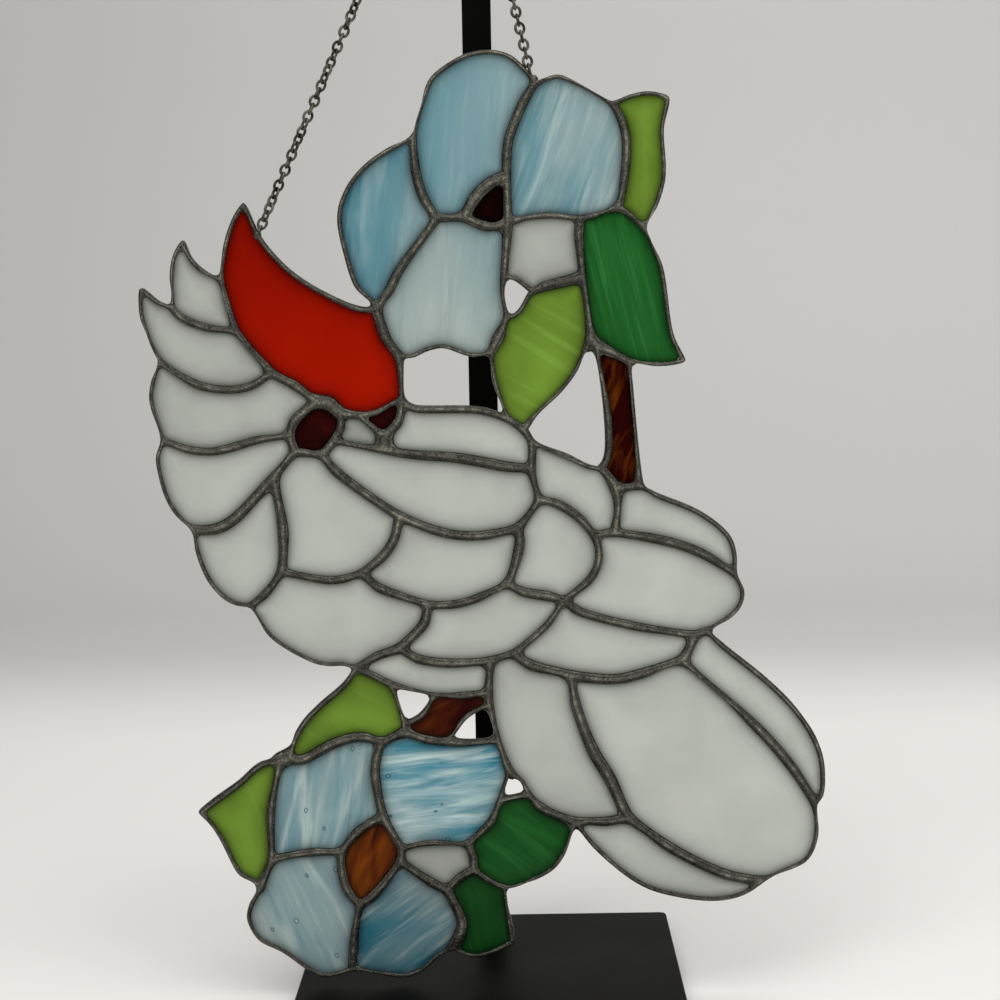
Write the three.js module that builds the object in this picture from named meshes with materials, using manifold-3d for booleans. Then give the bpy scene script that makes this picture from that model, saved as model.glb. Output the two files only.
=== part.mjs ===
// A stained glass suncatcher on its display stand: a crested bird between two flowers, made of
// glass panes held in a lattice of solder, hung by a chain from the hook of a flat steel bar.
// Millimetres, +Z up. The panel stands in an XZ plane and its front faces -Y. The origin is the
// middle of the underside of the stand's base plate.
import * as THREE from 'three';
import { mergeVertices } from 'three/addons/utils/BufferGeometryUtils.js';
import Module from 'manifold-3d';

const wasm = await Module();
wasm.setup();

// ---------------------------------------------------------------- driving dimensions
const PANEL_Y = -13; // middle of the glass
const GLASS = 3; // thickness of every pane
const PANE_GAP = 0.2; // between a pane's edge and its window in the lattice
const BEAD_RISE = 0.62; // height of a solder bead over the glass, as a share of its half width
const WINDOW_ROUND = 0.9; // radius in the corners of a window
const SAMPLE = 0.5; // spacing of the points that a window is worked out from
const KNOT = 40; // most points in a knot where two seams meet at a sharp angle
const ROUND_FROM = 0.2; // a seam's turn, in radians, from which its bead goes round it in an arc
const ROUND_STEP = 0.35; // the arc's steps, in radians
const CORNER_STEP = 0.3; // and those of the arc in a window's corner
const TOUCH = 0.06; // how far a ball may press into the beads before it counts as stuck
const HEADING = 3; // samples after which a seam's heading at its joint is taken
const MITRE = 0.4; // the sharpest corner of a pane is drawn in by the gap over this
const SLIVER = 1e-3; // twice the smallest area that a facet of the lattice may have
const FOLD_COST = 1e4; // what a facet that folds over adds to the length of the rungs
const MERGE = 1e-4; // points closer than this are one
const RIDGE_TOLERANCE = 0.4; // how far a bead's facets may stand off its curve
const WINDOW_TOLERANCE = 0.36;

const BASE = { side: 150, thickness: 5, corner: 3 };
const BAR = { width: 12, thickness: 6, back: 73, bend: 28, seatZ: 443, seatX: -6.6, tip: 15,
  crown: 14, // height of the arm's top over the seat
  dive: 22, // how long the arm keeps its heading after its top,
  level: 24, // and where it starts to level out, behind the panel
  seatBack: 7, seatFront: 5, // the flat seat, behind and before the panel's middle
  curl: [11, 0], brace: [14, 4], lean: 15, // the turned-up tip: [forward, up] and forward
  steps: 7 };
const LINK = { length: 5.06, width: 4.36, wire: 1, pitch: 3.16, play: 0.38, twists: 1.5,
  rounds: 4, sides: 3, widening: 1.1 };
const CHAIN_CLEARANCE = 0.2; // between a link and the hook it hangs on
const LEFT_END = [-80.8, 299.8]; // middle of the link that is soldered to the crest
const RIGHT_END = [20.5, 358.3]; // and of the one between the two highest petals

// ---------------------------------------------------------------- the network of seams
// Named joints, where three or more seams meet or the outline turns a corner: [x, z].
const JOINTS = {
  petal_12: [-23.2, 331.8], petal_23: [23.2, 351], petal_124: [-15.2, 301.4],
  leaf_a_root: [51.6, 342.8], leaf_a_tip: [72.6, 344.4], leaf_ab: [63.2, 296.6],
  leaf_ab_top: [53.6, 304.4], leaf_b_tip: [77.6, 246.3], leaf_b_top: [39.1, 300.6],
  heart_a_left: [-4.6, 301.5], heart_a_top: [11.8, 316.2], heart_a_low: [11.8, 299.4],
  square_low: [40.1, 278], crest_petal: [-38.2, 267.8],
  stem_top: [57.2, 246.4], stem_foot: [60.4, 199], stem_left: [45.8, 205], stem_mid: [51.2, 198.8],
  opening_a_tl: [-30.6, 250.2], opening_a_tr: [4.9, 250.9], opening_a_br: [10.8, 225.2],
  opening_b_top: [42.4, 255.2], opening_b_tr: [45.2, 252.2], opening_b_left: [16.4, 221],
  opening_b_low: [19.4, 216.6], opening_c_top: [10.2, 279.6], opening_c_right: [20.8, 273.4],
  opening_c_low: [10.6, 263.4], opening_d_tl: [-36.4, 123.7], opening_d_tr: [-19.4, 119.4],
  opening_d_low: [-31.2, 104.8], opening_e_top: [1.4, 115.2], opening_e_left: [-14.8, 101.1],
  opening_e_right: [4.8, 100.9], opening_f_top: [8.8, 89], opening_f_right: [16.2, 79.6],
  opening_f_left: [4.8, 77.4],
  crest_left: [-97, 279.8], crest_tip: [-87.8, 307.8], feather_a_tip: [-111.2, 294.2],
  feather_ab: [-116, 269.6], feather_b_tip: [-127.4, 276.6],
  ruff_a: [-121.2, 249.4], ruff_b: [-121.2, 219.4], ruff_c: [-110.5, 184.6],
  ruff_d: [-91.8, 260.2], ruff_e: [-78.6, 244.4], ruff_f: [-77.2, 168], ruff_g: [-79, 204.6],
  eye_top: [-62, 233.2], eye_upper: [-72.4, 220.6], eye_lower: [-70.4, 214.2],
  eye_low: [-60.9, 213.1], eye_right: [-55.8, 218.2], eye_upright: [-53, 228.8],
  beak_left: [-46, 227.9], beak_top: [-29.8, 233.5], beak_low: [-36.4, 219.9],
  beak_foot: [-36.4, 214.4],
  body_a: [19.3, 206.2], body_b: [21.6, 194.4], body_c: [13.5, 183.6], body_d: [-31.2, 188.8],
  body_e: [50.6, 181], body_f: [42.8, 180.4], body_g: [30.8, 155.2], body_h: [9.4, 162],
  body_i: [-21.4, 154.6], body_j: [-46.5, 167.1], body_k: [-32.7, 137.8],
  body_l: [2.1, 132.3], body_m: [11.2, 135], body_n: [32.9, 126.2],
  breast_left: [-89.4, 155.2], chin: [-49.4, 130.2],
  wing_mid: [96.6, 164.2], wing_fork: [81, 141.2], wing_end: [85.6, 142.6],
  tail_top: [75.8, 131.6], tail_notch: [127, 74.2], tail_fork: [54.8, 69.8],
  tail_tip: [106.8, 44.6], tail_root: [34, 68.2], twig_right: [1.2, 120],
  petal_fg: [-40.2, 101.4], petal_de: [-53.6, 11.2],
  heart_b_top: [-40.4, 72], heart_b_upper: [-33.6, 59], heart_b_right: [-34.2, 54],
  heart_b_left: [-56.6, 58.2], heart_b_low: [-50.4, 36.8],
  leaf_c_root: [-7.8, 60.6], leaf_cd: [-5.4, 50], leaf_c_tip: [6.4, 42.8],
  leaf_d_top: [-16.6, 42.2], leaf_d_tip: [8.8, 21], leaf_d_root: [-14.6, 19],
  leaf_e_fork: [-84.4, 55.2], leaf_e_foot: [-89.6, 42.9], leaf_e_tip: [-111, 74.6],
  neck_e: [-80, 94], neck_f: [-76, 96.3],
};

// Each seam is one smooth line of lead through joints and the points that shape it between
// them. A number is the half width of the solder from there on.
const SEAMS = [
  // outline, clockwise from the first petal
  [0.95, 'crest_petal', [-40.1, 270.9], [-43.5, 274], [-45.6, 276.4], [-48.5, 285.3],
    [-50.9, 294.5], [-51.6, 300.5], [-51, 306.5], [-47.8, 313.8], [-41.3, 321.3], [-33, 327],
    [-26.2, 330.6], 'petal_12'],
  [0.9, 'petal_12', [-21.6, 336.2], [-19.3, 345], [-16.2, 352.4], [-13.2, 355.6], [-4.4, 360.9],
    [0.5, 362.4], [8, 362.7], [13.6, 360.9], [18.6, 356.6], 'petal_23'],
  [0.85, 'petal_23', [27.1, 352.3], [31.5, 353.3], [35, 352.2], [42, 347.9], [48, 345.1],
    'leaf_a_root'],
  [0.85, 'leaf_a_root', [57, 344.9], [64.8, 346.5], [70, 345.7], 'leaf_a_tip'],
  [0.8, 'leaf_a_tip', [71.4, 339.5], [70.4, 333], [70.9, 323.5], [70.8, 315], [69.2, 308.6],
    [66.4, 301.8], 'leaf_ab'],
  [0.85, 'leaf_ab', [66.8, 289.2], [70, 279.6], [71.5, 268.4], [73.4, 255.6], [75.4, 250.4],
    'leaf_b_tip'],
  [0.85, 'leaf_b_tip', [72, 245.2], [66, 245.2], [61, 246], 'stem_top'],
  [1.15, 'stem_top', [57.2, 240], [58, 230], 1.35, [58.8, 219], 1.8, [59.4, 210], 'stem_foot'],
  [0.95, 'stem_foot', [66.7, 195.3], [76.1, 191.5], [82.5, 188.4], [89.6, 183.5],
    [94.5, 178.2], [96.4, 172], [96.6, 167], 'wing_mid'],
  [0.9, 'wing_mid', [98.6, 160.3], [99.4, 156.5], [98, 151.8], [94.2, 147.8], [89.5, 145.3],
    'wing_end'],
  [1.05, 'wing_end', [90.8, 137.3], [99.6, 130.2], [109.6, 121.4], [119.1, 111.4],
    [126.1, 100.8], [129.3, 91.8], [129.9, 84], [129.2, 77.5], 'tail_notch'],
  [0.9, 'tail_notch', [126.8, 70], [127.5, 63.5], [126.4, 57.8], [123.6, 52.6], [119, 49.8],
    [112, 47.3], 'tail_tip'],
  [0.95, 'tail_tip', [101, 40.3], [94, 37.7], [86.5, 37.1], [78, 38], [69, 40], [61.6, 42.5],
    [53.4, 47.7], [46, 54.2], [40, 60.4], 'tail_root'],
  [0.8, 'tail_root', [31.7, 62.8], [29.4, 56.3], [25.7, 51], [20.6, 47.6], [14, 44.9],
    'leaf_c_tip'],
  [0.85, 'leaf_c_tip', [6.4, 36.5], [7.6, 30.5], 'leaf_d_tip'],
  [0.85, 'leaf_d_tip', [1.8, 17.8], [-5.3, 15.8], [-10, 16.8], 'leaf_d_root'],
  [0.9, 'leaf_d_root', [-19.4, 16.9], [-22.9, 13.8], [-27.5, 10.2], [-34, 8.3], [-41.8, 9.4],
    [-48.5, 10.8], 'petal_de'],
  [0.9, 'petal_de', [-58.2, 10.2], [-64, 8.8], [-69.5, 10.8], [-75.9, 15.6], [-82.5, 20],
    [-89.3, 23.5], [-92.2, 27.5], [-93.8, 32], [-92.9, 37], 'leaf_e_foot'],
  [1, 'leaf_e_foot', [-90.7, 46.6], [-96.2, 49.8], [-99.2, 54.3], [-103.8, 64.8],
    [-107.5, 70.5], 'leaf_e_tip'],
  [1.2, 'leaf_e_tip', [-105.8, 78.8], [-95.1, 86.3], [-90, 91], [-85.6, 93.4], 'neck_e'],
  [3.5, 'neck_e', 'neck_f'],
  [1.1, 'neck_f', [-75, 99.8], [-73.6, 103.4], [-70.2, 109], [-65.1, 114.4], [-58.5, 120.2],
    [-53.4, 124.6], 'chin'],
  [0.8, 'chin', [-54, 131.8], [-60.4, 131.9], [-66, 133.2], [-74, 137.4], [-81.5, 142.8],
    [-85.1, 147.6], 'breast_left'],
  [0.95, 'breast_left', [-94.5, 156], [-99.3, 158.5], [-105.2, 165.6], [-108.5, 174],
    [-110, 180], 'ruff_c'],
  [0.85, 'ruff_c', [-117.3, 191.8], [-120.5, 198], [-122.9, 208], [-123.3, 213], 'ruff_b'],
  [0.85, 'ruff_b', [-123, 226], [-125.1, 235], [-124.2, 241.5], 'ruff_a'],
  [0.85, 'ruff_a', [-122.9, 254.4], [-126.1, 261.2], [-127.8, 268.5], 'feather_b_tip'],
  [0.85, 'feather_b_tip', [-121.4, 271.8], 'feather_ab'],
  [0.85, 'feather_ab', [-115.3, 275], [-115.8, 280.5], [-114.3, 289.3], 'feather_a_tip'],
  [0.85, 'feather_a_tip', [-109.4, 289.6], [-106.7, 285.8], [-102.4, 282.2], 'crest_left'],
  [0.9, 'crest_left', [-96.1, 287.4], [-93.9, 296.4], [-90.8, 303.6], 'crest_tip'],
  [0.9, 'crest_tip', [-85.6, 303.4], [-84.2, 299.6], [-81.6, 294.6], [-75.6, 287],
    [-69.4, 281.2], [-62.5, 276.4], [-56.2, 273], [-50.5, 270.4], 1.2, [-44.7, 267.8],
    'crest_petal'],

  // upper flower
  [1.85, 'petal_12', [-23, 327.5], [-22.4, 319], [-19.8, 309.5], 'petal_124'],
  [1.75, 'petal_124', [-18.4, 296.4], [-24.3, 288.8], [-29.7, 281.9], [-33.2, 275.2],
    'crest_petal'],
  [1.8, 'petal_124', [-10, 301.9], 'heart_a_left', 1.9, [0.5, 299.2], [6.5, 297.8],
    'heart_a_low'],
  [2.4, 'heart_a_left', [-1.5, 307], [2.4, 311.6], [7.2, 315], 'heart_a_top'],
  [1.8, 'petal_23', [20.3, 347.2], [16.4, 339.5], [12.7, 330], [11.8, 322], 'heart_a_top',
    1.9, [12.1, 308], 'heart_a_low', 2, [10.9, 290], 1.5, 'opening_c_top', 0.8, [9.4, 273],
    1.2, 'opening_c_low', 2.3, [7.6, 256.2], 1.8, 'opening_a_tr'],
  [1.2, 'heart_a_low', [19.7, 301.3], [30, 301.7], 'leaf_b_top', 1.6, [46.5, 302],
    [50.5, 303.3], 'leaf_ab_top'],
  [1.4, 'leaf_a_root', 1.7, [54.3, 339], [56.6, 332], [56.9, 324], [55.6, 313], 'leaf_ab_top'],
  [1.4, 'leaf_ab_top', [58, 300.5], 'leaf_ab'],
  [1.8, 'leaf_b_top', [38.6, 295], [39.4, 287], 'square_low', 2.1, [41.6, 268], [42.4, 260],
    'opening_b_top', 0.8, [39.6, 250], [37.4, 244.6], [34.4, 240], [30.6, 235.5],
    [21.5, 227], 1.2, 'opening_b_left'],
  [0.8, 'opening_c_top', [15.5, 277.6], 'opening_c_right'],
  [1.4, 'opening_c_right', 1.9, [24.6, 274.8], [29, 275.9], 2.4, [34, 277.3], 'square_low'],
  [0.9, 'opening_c_right', [17.4, 268.6], [15, 265.2], 'opening_c_low'],
  [0.8, 'opening_a_tl', [-25.5, 249.8], [-19.7, 252.2], [-13.8, 253.3], [-8.5, 251.8],
    [-3, 249.9], [1.5, 249.9], 'opening_a_tr'],
  [0.95, 'opening_a_tr', [5.2, 245], [6.2, 238.4], [8.4, 232.6], 'opening_a_br'],
  [2.3, 'opening_b_top', 3.2, 'opening_b_tr'],
  [2.3, 'opening_b_tr', [49.5, 250.6], 1.8, [54, 248.2], 'stem_top'],
  [1.1, 'opening_b_tr', [45.2, 246.5], [46.6, 240], [47.5, 233.5], 1.6, [48.7, 225],
    [48.9, 218], 1.5, [48.4, 210.5], 1.3, 'stem_left'],

  // crest, feathers and ruff
  [2.2, 'crest_petal', [-36.4, 260.5], 1.9, [-34.4, 255.4], 'opening_a_tl', 1.5, [-30.1, 245],
    1.2, [-29.5, 239], 'beak_top', 1.9, [-30.2, 228], [-32, 223.8], 'beak_low'],
  [1.5, 'crest_left', [-95.2, 273.5], [-93.2, 266], 'ruff_d', 1.7, [-86.8, 254.2], 'ruff_e',
    1.8, [-70, 239.4], 'eye_top'],
  [1.45, 'feather_ab', [-112.6, 266], [-104, 262.2], 'ruff_d'],
  [1.5, 'ruff_a', [-115.5, 245.6], [-108.5, 240.9], [-98, 238.4], [-88, 239.2], 'ruff_e'],
  [1.5, 'ruff_b', [-114, 216.4], [-105, 214.8], [-97, 215.6], [-85, 218.9], 'eye_upper'],
  [2.1, 'ruff_c', [-102.5, 185], [-96, 187.9], [-88.6, 194.7], 'ruff_g', 1.8, [-75.5, 209.4],
    'eye_lower'],
  [2.1, 'ruff_g', [-77.4, 194], [-76.1, 183], [-76.4, 174.5], 'ruff_f'],
  [1.6, 'breast_left', [-84, 159.4], 'ruff_f'],

  // eye, face and beak
  [2, 'eye_top', [-67.4, 228.9], [-71.2, 225], 'eye_upper', 1.8, 'eye_lower', [-66.4, 213.9],
    'eye_low', 'eye_right', 1.7, [-53.2, 223], 'eye_upright'],
  [3, 'eye_top', [-57.6, 232.4], 2.4, 'eye_upright', 1.6, 'beak_left'],
  [1.4, 'beak_left', [-43, 224.6], 'beak_low'],
  [1.1, 'beak_left', [-38.7, 228.9], [-34.8, 231.4], 'beak_top'],
  [3.6, 'beak_low', 'beak_foot'],
  [1.4, 'eye_right', [-48, 216.2], 'beak_foot', 2, [-28, 212.9], [-15, 211.6], [-2, 209.7],
    [10, 207.1], 'body_a'],

  // head, back and shoulder
  [1.5, 'beak_top', [-26, 230.2], [-18, 229.6], [-6, 229.1], [2, 228.4], [7, 226.4],
    'opening_a_br', 'opening_b_left', 'opening_b_low', 1.6, [19.4, 212], 'body_a',
    [19.8, 201.5], 'body_b', 1.8, [20.3, 191.7], [17.2, 187.2], 'body_c', [7.6, 182.1],
    [0, 180.9], [-7, 180.9], [-15.3, 182.4], [-23, 185.1], 'body_d', [-38, 193.8],
    [-46, 199.8], [-56.1, 207.1], 'eye_low'],
  [0.9, 'opening_b_low', [25.5, 214], [33.5, 210.5], [41, 206.6], 'stem_left', 2.6,
    'stem_mid', 1.7, [52.2, 192], [51.9, 187], 'body_e'],
  [1.75, 'stem_mid', [55.5, 198.4], 'stem_foot'],
  [1.7, 'body_b', [26.5, 193.4], [31, 191.4], [36, 188], 'body_f', 1.5, [44.6, 174.5],
    [44.2, 169.5], [41.4, 163.8], [37, 159.6], 'body_g'],
  [2, 'body_c', [14.3, 180], [13.6, 174], [11.4, 167.6], 'body_h'],
  [1.8, 'body_h', [13.5, 159.5], [20, 157.8], [25.5, 157], 'body_g'],
  [1.6, 'body_h', [4.9, 160.3], [-2, 156.9], [-9, 154.8], [-15, 154.2], 'body_i', 1.8,
    [-27.5, 156.9], [-34, 158.9], [-41, 162], 'body_j'],
  [1.6, 'ruff_f', [-71.5, 167], [-60.4, 164.7], [-52, 165.3], 'body_j', 1.8, [-42.4, 169.9],
    [-37.5, 174.3], [-33.8, 180], 'body_d'],

  // breast, belly and wing
  [2, 'body_i', [-22.6, 148], [-27.2, 142.8], 'body_k', 1.7, [-40, 135.4], [-45, 132.6],
    'chin'],
  [1.8, 'body_k', [-26.5, 133.9], [-18, 132], [-8, 131.6], 'body_l', 1.6, [6.5, 134],
    'body_m', 1.3, [18.8, 141.2], [25, 146.8], 'body_g'],
  [1.7, 'body_g', [36.5, 151], [47.9, 147.8], [60, 144.4], [72, 142.4], 'wing_fork',
    'wing_end'],
  [1.6, 'body_f', 'body_e', 1.8, [60.8, 179.6], [74.9, 176.2], [85, 172], 'wing_mid'],
  [2.1, 'body_m', [17.5, 130.6], [26, 128], 'body_n', 2, [41, 125], [50.5, 124.4],
    [60, 126.3], [68, 129], 'tail_top', 2.2, [78.6, 135.2], 'wing_fork'],

  // tail
  [1.9, 'body_l', [2, 127], 'twig_right', 2, 'opening_e_top', 1.15, [3.2, 109],
    [4.1, 103.5], 'opening_e_right', 1.9, [7.6, 92.6], 'opening_f_top', 0.8, [13.2, 85.4],
    1.2, 'opening_f_right', 1.8, [20, 75.2], [25.5, 71.8], 2.4, 'tail_root'],
  [2.3, 'tail_root', 1.9, [38.5, 69], [46, 68.6], 'tail_fork'],
  [2, 'body_n', [34.2, 117.5], [37.4, 106.5], 2.4, [41.8, 95.6], [47.6, 85.6], 'tail_fork',
    2, [61, 65.6], [67.3, 60.2], [75.2, 55.3], [86.4, 49.3], [96, 45.8], [102, 44.9],
    'tail_tip'],
  [1.9, 'tail_top', [82.6, 124.7], [94.9, 113.9], [106.7, 102.4], [117.9, 88.9], [123, 81.4],
    'tail_notch'],

  // lower flower
  [1.6, 'chin', [-44.7, 127.8], [-40, 125.4], 'opening_d_tl', 0.85, [-28, 121.5],
    'opening_d_tr', 1.5, [-10, 118.8], 'twig_right'],
  [0.9, 'opening_d_tl', [-34.2, 118], [-32.4, 112.4], 'opening_d_low'],
  [1.1, 'opening_d_low', [-29.8, 108.4], [-26.3, 110.2], [-23, 113.2], 'opening_d_tr'],
  [2, 'neck_f', [-72.5, 94.6], [-66, 97.6], [-58, 101.3], [-50.3, 103.3], [-44.8, 102.8],
    'petal_fg', [-35.5, 103], 2.4, 'opening_d_low', 1.8, [-28, 103.5], [-22, 101.8],
    'opening_e_left', 1.4, [-8, 100.2], [-1, 100.8], 'opening_e_right'],
  [0.95, 'opening_e_top', [-4, 112.8], [-9.4, 108.6], 'opening_e_left'],
  [1.9, 'petal_fg', [-42.3, 95.6], [-43.1, 88], [-42, 80], 'heart_b_top', 1.8,
    [-37.6, 66.6], 'heart_b_upper'],
  [1.9, 'heart_b_top', [-46.5, 68.8], [-52, 64.4], 'heart_b_left', 1.8, [-56.8, 50],
    [-54.8, 42.6], 'heart_b_low'],
  [1.9, 'heart_b_low', [-46.4, 39.2], [-40, 46.9], 'heart_b_right'],
  [1.8, 'heart_b_upper', 'heart_b_right'],
  [1.7, 'leaf_e_fork', [-77, 56.5], [-68, 58.2], 'heart_b_left'],
  [1.6, 'neck_e', [-81.3, 86], [-83.7, 76.5], [-84.3, 66], 'leaf_e_fork', 1.7,
    [-86.6, 49.2], 'leaf_e_foot'],
  [1.75, 'heart_b_low', [-52, 28.6], [-53.2, 20], 'petal_de'],
  [1.9, 'heart_b_right', [-28.5, 50.3], [-21.5, 45], 'leaf_d_top', 2, [-12.6, 35],
    [-10.7, 29], 2.7, [-12, 23.6], 'leaf_d_root'],
  [1.7, 'leaf_d_top', [-10, 48], 'leaf_cd'],
  [1.2, 'leaf_cd', [0.5, 46.8], 'leaf_c_tip'],
  [1.2, 'heart_b_upper', [-27, 60.7], [-18, 61], [-12.5, 60.3], 'leaf_c_root'],
  [1.6, 'leaf_c_root', [-2.5, 65], [2.4, 70.8], 'opening_f_left', 0.9, [6.6, 83.6],
    'opening_f_top'],
  [1.75, 'leaf_c_root', [-5.8, 55.5], 'leaf_cd'],
  [1.3, 'opening_f_left', [10.5, 78.3], 'opening_f_right'],
];

// ---------------------------------------------------------------- finishes and panes
const FINISHES = {
  white: { color: 0xc9cfca, roughness: 0.25 },
  sky: { color: 0x8fc4d8, roughness: 0.2 },
  sea: { color: 0x3f9fc4, roughness: 0.2 },
  lime: { color: 0x8fb43a, roughness: 0.2 },
  forest: { color: 0x1f7a35, roughness: 0.2 },
  amber: { color: 0x7a3510, roughness: 0.15 },
  garnet: { color: 0x45100a, roughness: 0.15 },
  flame: { color: 0xc22c0c, roughness: 0.2 },
  solder: { color: 0x77756f, roughness: 0.45, metalness: 0.85 },
  steel: { color: 0x8c8984, roughness: 0.35, metalness: 0.9 },
  black: { color: 0x1b1b1c, roughness: 0.5, metalness: 0.3 },
};

// Every pane: its name, its finish and a point [x, z] inside its window.
const PANES = [
  ['petal_left', 'sea', [-33, 300]], ['petal_high', 'sky', [0, 335]],
  ['petal_right', 'sky', [33, 330]], ['petal_low', 'sky', [-12, 275]],
  ['petal_small', 'white', [25, 290]], ['flower_heart', 'garnet', [6, 307]],
  ['leaf_tall', 'lime', [63, 325]], ['leaf_dark', 'forest', [58, 270]],
  ['leaf_lime', 'lime', [22, 250]], ['stem', 'amber', [53, 225]],
  ['crest', 'flame', [-65, 260]], ['crest_feather_upper', 'white', [-105, 275]],
  ['crest_feather_lower', 'white', [-105, 252]], ['ruff_upper', 'white', [-100, 228]],
  ['ruff_middle', 'white', [-105, 203]], ['ruff_lower', 'white', [-93, 175]],
  ['cheek', 'white', [-57, 190]], ['eye', 'garnet', [-63, 222]],
  ['face', 'white', [-47, 220.5]], ['beak', 'garnet', [-38, 225.5]],
  ['nape', 'white', [-10, 220]], ['neck', 'white', [-15, 198]],
  ['shoulder', 'white', [-12, 168]], ['breast', 'white', [-60, 148]],
  ['belly_upper', 'white', [0, 145]], ['belly_lower', 'white', [-20, 126]],
  ['back_upper', 'white', [36, 197]], ['back_middle', 'white', [28, 172]],
  ['wing_upper', 'white', [70, 186]], ['wing_middle', 'white', [70, 160]],
  ['wing_lower', 'white', [50, 137]], ['tail_inner', 'white', [20, 105]],
  ['tail_broad', 'white', [85, 90]], ['tail_outer', 'white', [112, 108]],
  ['tail_lower', 'white', [70, 50]], ['twig', 'amber', [-14, 110]],
  ['low_leaf_lime', 'lime', [-52, 113]], ['low_leaf_tip', 'lime', [-95, 70]],
  ['low_petal_left', 'sky', [-65, 78]], ['low_petal_right', 'sea', [-20, 80]],
  ['low_petal_foot', 'sky', [-72, 35]], ['low_petal_base', 'sea', [-33, 28]],
  ['low_flower_heart', 'amber', [-46, 55]], ['low_petal_small', 'white', [-20, 54]],
  ['low_leaf_dark', 'forest', [12, 62]], ['low_leaf_foot', 'forest', [0, 32]],
];

// ---------------------------------------------------------------- plan geometry
const plan = (p) => new THREE.Vector2(p[0], p[1]);
const leftOf = (a, b) => new THREE.Vector2(a.y - b.y, b.x - a.x).normalize();
const cross = (a, b, c) => (b.x - a.x) * (c.y - a.y) - (b.y - a.y) * (c.x - a.x);

function distanceToSegment(p, a, b) {
  const dx = b.x - a.x;
  const dy = b.y - a.y;
  const along = ((p.x - a.x) * dx + (p.y - a.y) * dy) / (dx * dx + dy * dy || 1);
  const t = Math.min(1, Math.max(0, along));
  return Math.hypot(p.x - a.x - t * dx, p.y - a.y - t * dy);
}

// The fewest of the points of an open line that keep within the tolerance of it.
function simplify(points, tolerance) {
  let worst = 0;
  let at = 0;
  for (let i = 1; i < points.length - 1; i++) {
    const off = distanceToSegment(points[i], points[0], points[points.length - 1]);
    if (off > worst) [worst, at] = [off, i];
  }
  if (worst <= tolerance) return [points[0], points[points.length - 1]];
  const before = simplify(points.slice(0, at + 1), tolerance);
  return [...before.slice(0, -1), ...simplify(points.slice(at), tolerance)];
}

function simplifyLoop(points, tolerance) {
  let far = 0;
  points.forEach((p, i) => {
    if (p.distanceTo(points[0]) > points[far].distanceTo(points[0])) far = i;
  });
  const first = simplify(points.slice(0, far + 1), tolerance);
  const second = simplify([...points.slice(far), points[0]], tolerance);
  return [...first.slice(0, -1), ...second.slice(0, -1)];
}

// ---------------------------------------------------------------- network: edges and faces
// An edge is the stretch of a seam between two joints, sampled finely, with its half width.
function edgesOf(seam) {
  let half = 1;
  const points = [];
  for (const item of seam) {
    if (typeof item === 'number') half = item;
    else points.push({ joint: typeof item === 'string' ? item : null, half,
      at: plan(typeof item === 'string' ? JOINTS[item] : item) });
  }
  const curve = new THREE.CatmullRomCurve3(
    points.map((p) => new THREE.Vector3(p.at.x, p.at.y, 0)), false, 'centripetal');
  const edges = [];
  let run = null;
  points.forEach((p, i) => {
    if (p.joint) {
      if (run) edges.push({ ...run, to: p.joint, samples: [...run.samples, sampleAt(p.at, p.half)] });
      run = { from: p.joint, samples: [] };
    }
    if (i === points.length - 1) return;
    const next = points[i + 1];
    const steps = Math.max(2, Math.ceil(p.at.distanceTo(next.at) / SAMPLE));
    for (let k = 0; k < steps; k++) {
      const t = (i + k / steps) / (points.length - 1);
      const width = p.half + ((next.half - p.half) * k) / steps;
      run.samples.push(sampleAt(k ? curve.getPoint(t) : p.at, width));
    }
  });
  return edges;
}

function sampleAt(point, half) {
  return Object.assign(new THREE.Vector2(point.x, point.y), { half });
}

// Both directions of every edge, linked so that each loop keeps one face on its left.
function facesOf(edges) {
  const halves = [];
  for (const edge of edges) {
    const ahead = { edge, from: edge.from, to: edge.to, samples: edge.samples };
    const back = { edge, from: edge.to, to: edge.from, samples: [...edge.samples].reverse() };
    ahead.twin = back;
    back.twin = ahead;
    halves.push(ahead, back);
  }
  const leaving = {};
  for (const h of halves) {
    const towards = h.samples[Math.min(HEADING, h.samples.length - 1)];
    h.angle = Math.atan2(towards.y - h.samples[0].y, towards.x - h.samples[0].x);
    (leaving[h.from] ??= []).push(h);
  }
  for (const list of Object.values(leaving)) list.sort((a, b) => a.angle - b.angle);
  const faces = [];
  const used = new Set();
  for (const start of halves) {
    if (used.has(start)) continue;
    const loop = [];
    for (let h = start; !used.has(h); ) {
      used.add(h);
      loop.push(h);
      const list = leaving[h.to];
      h = list[(list.indexOf(h.twin) + list.length - 1) % list.length];
    }
    faces.push(loop);
  }
  return faces;
}

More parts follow.
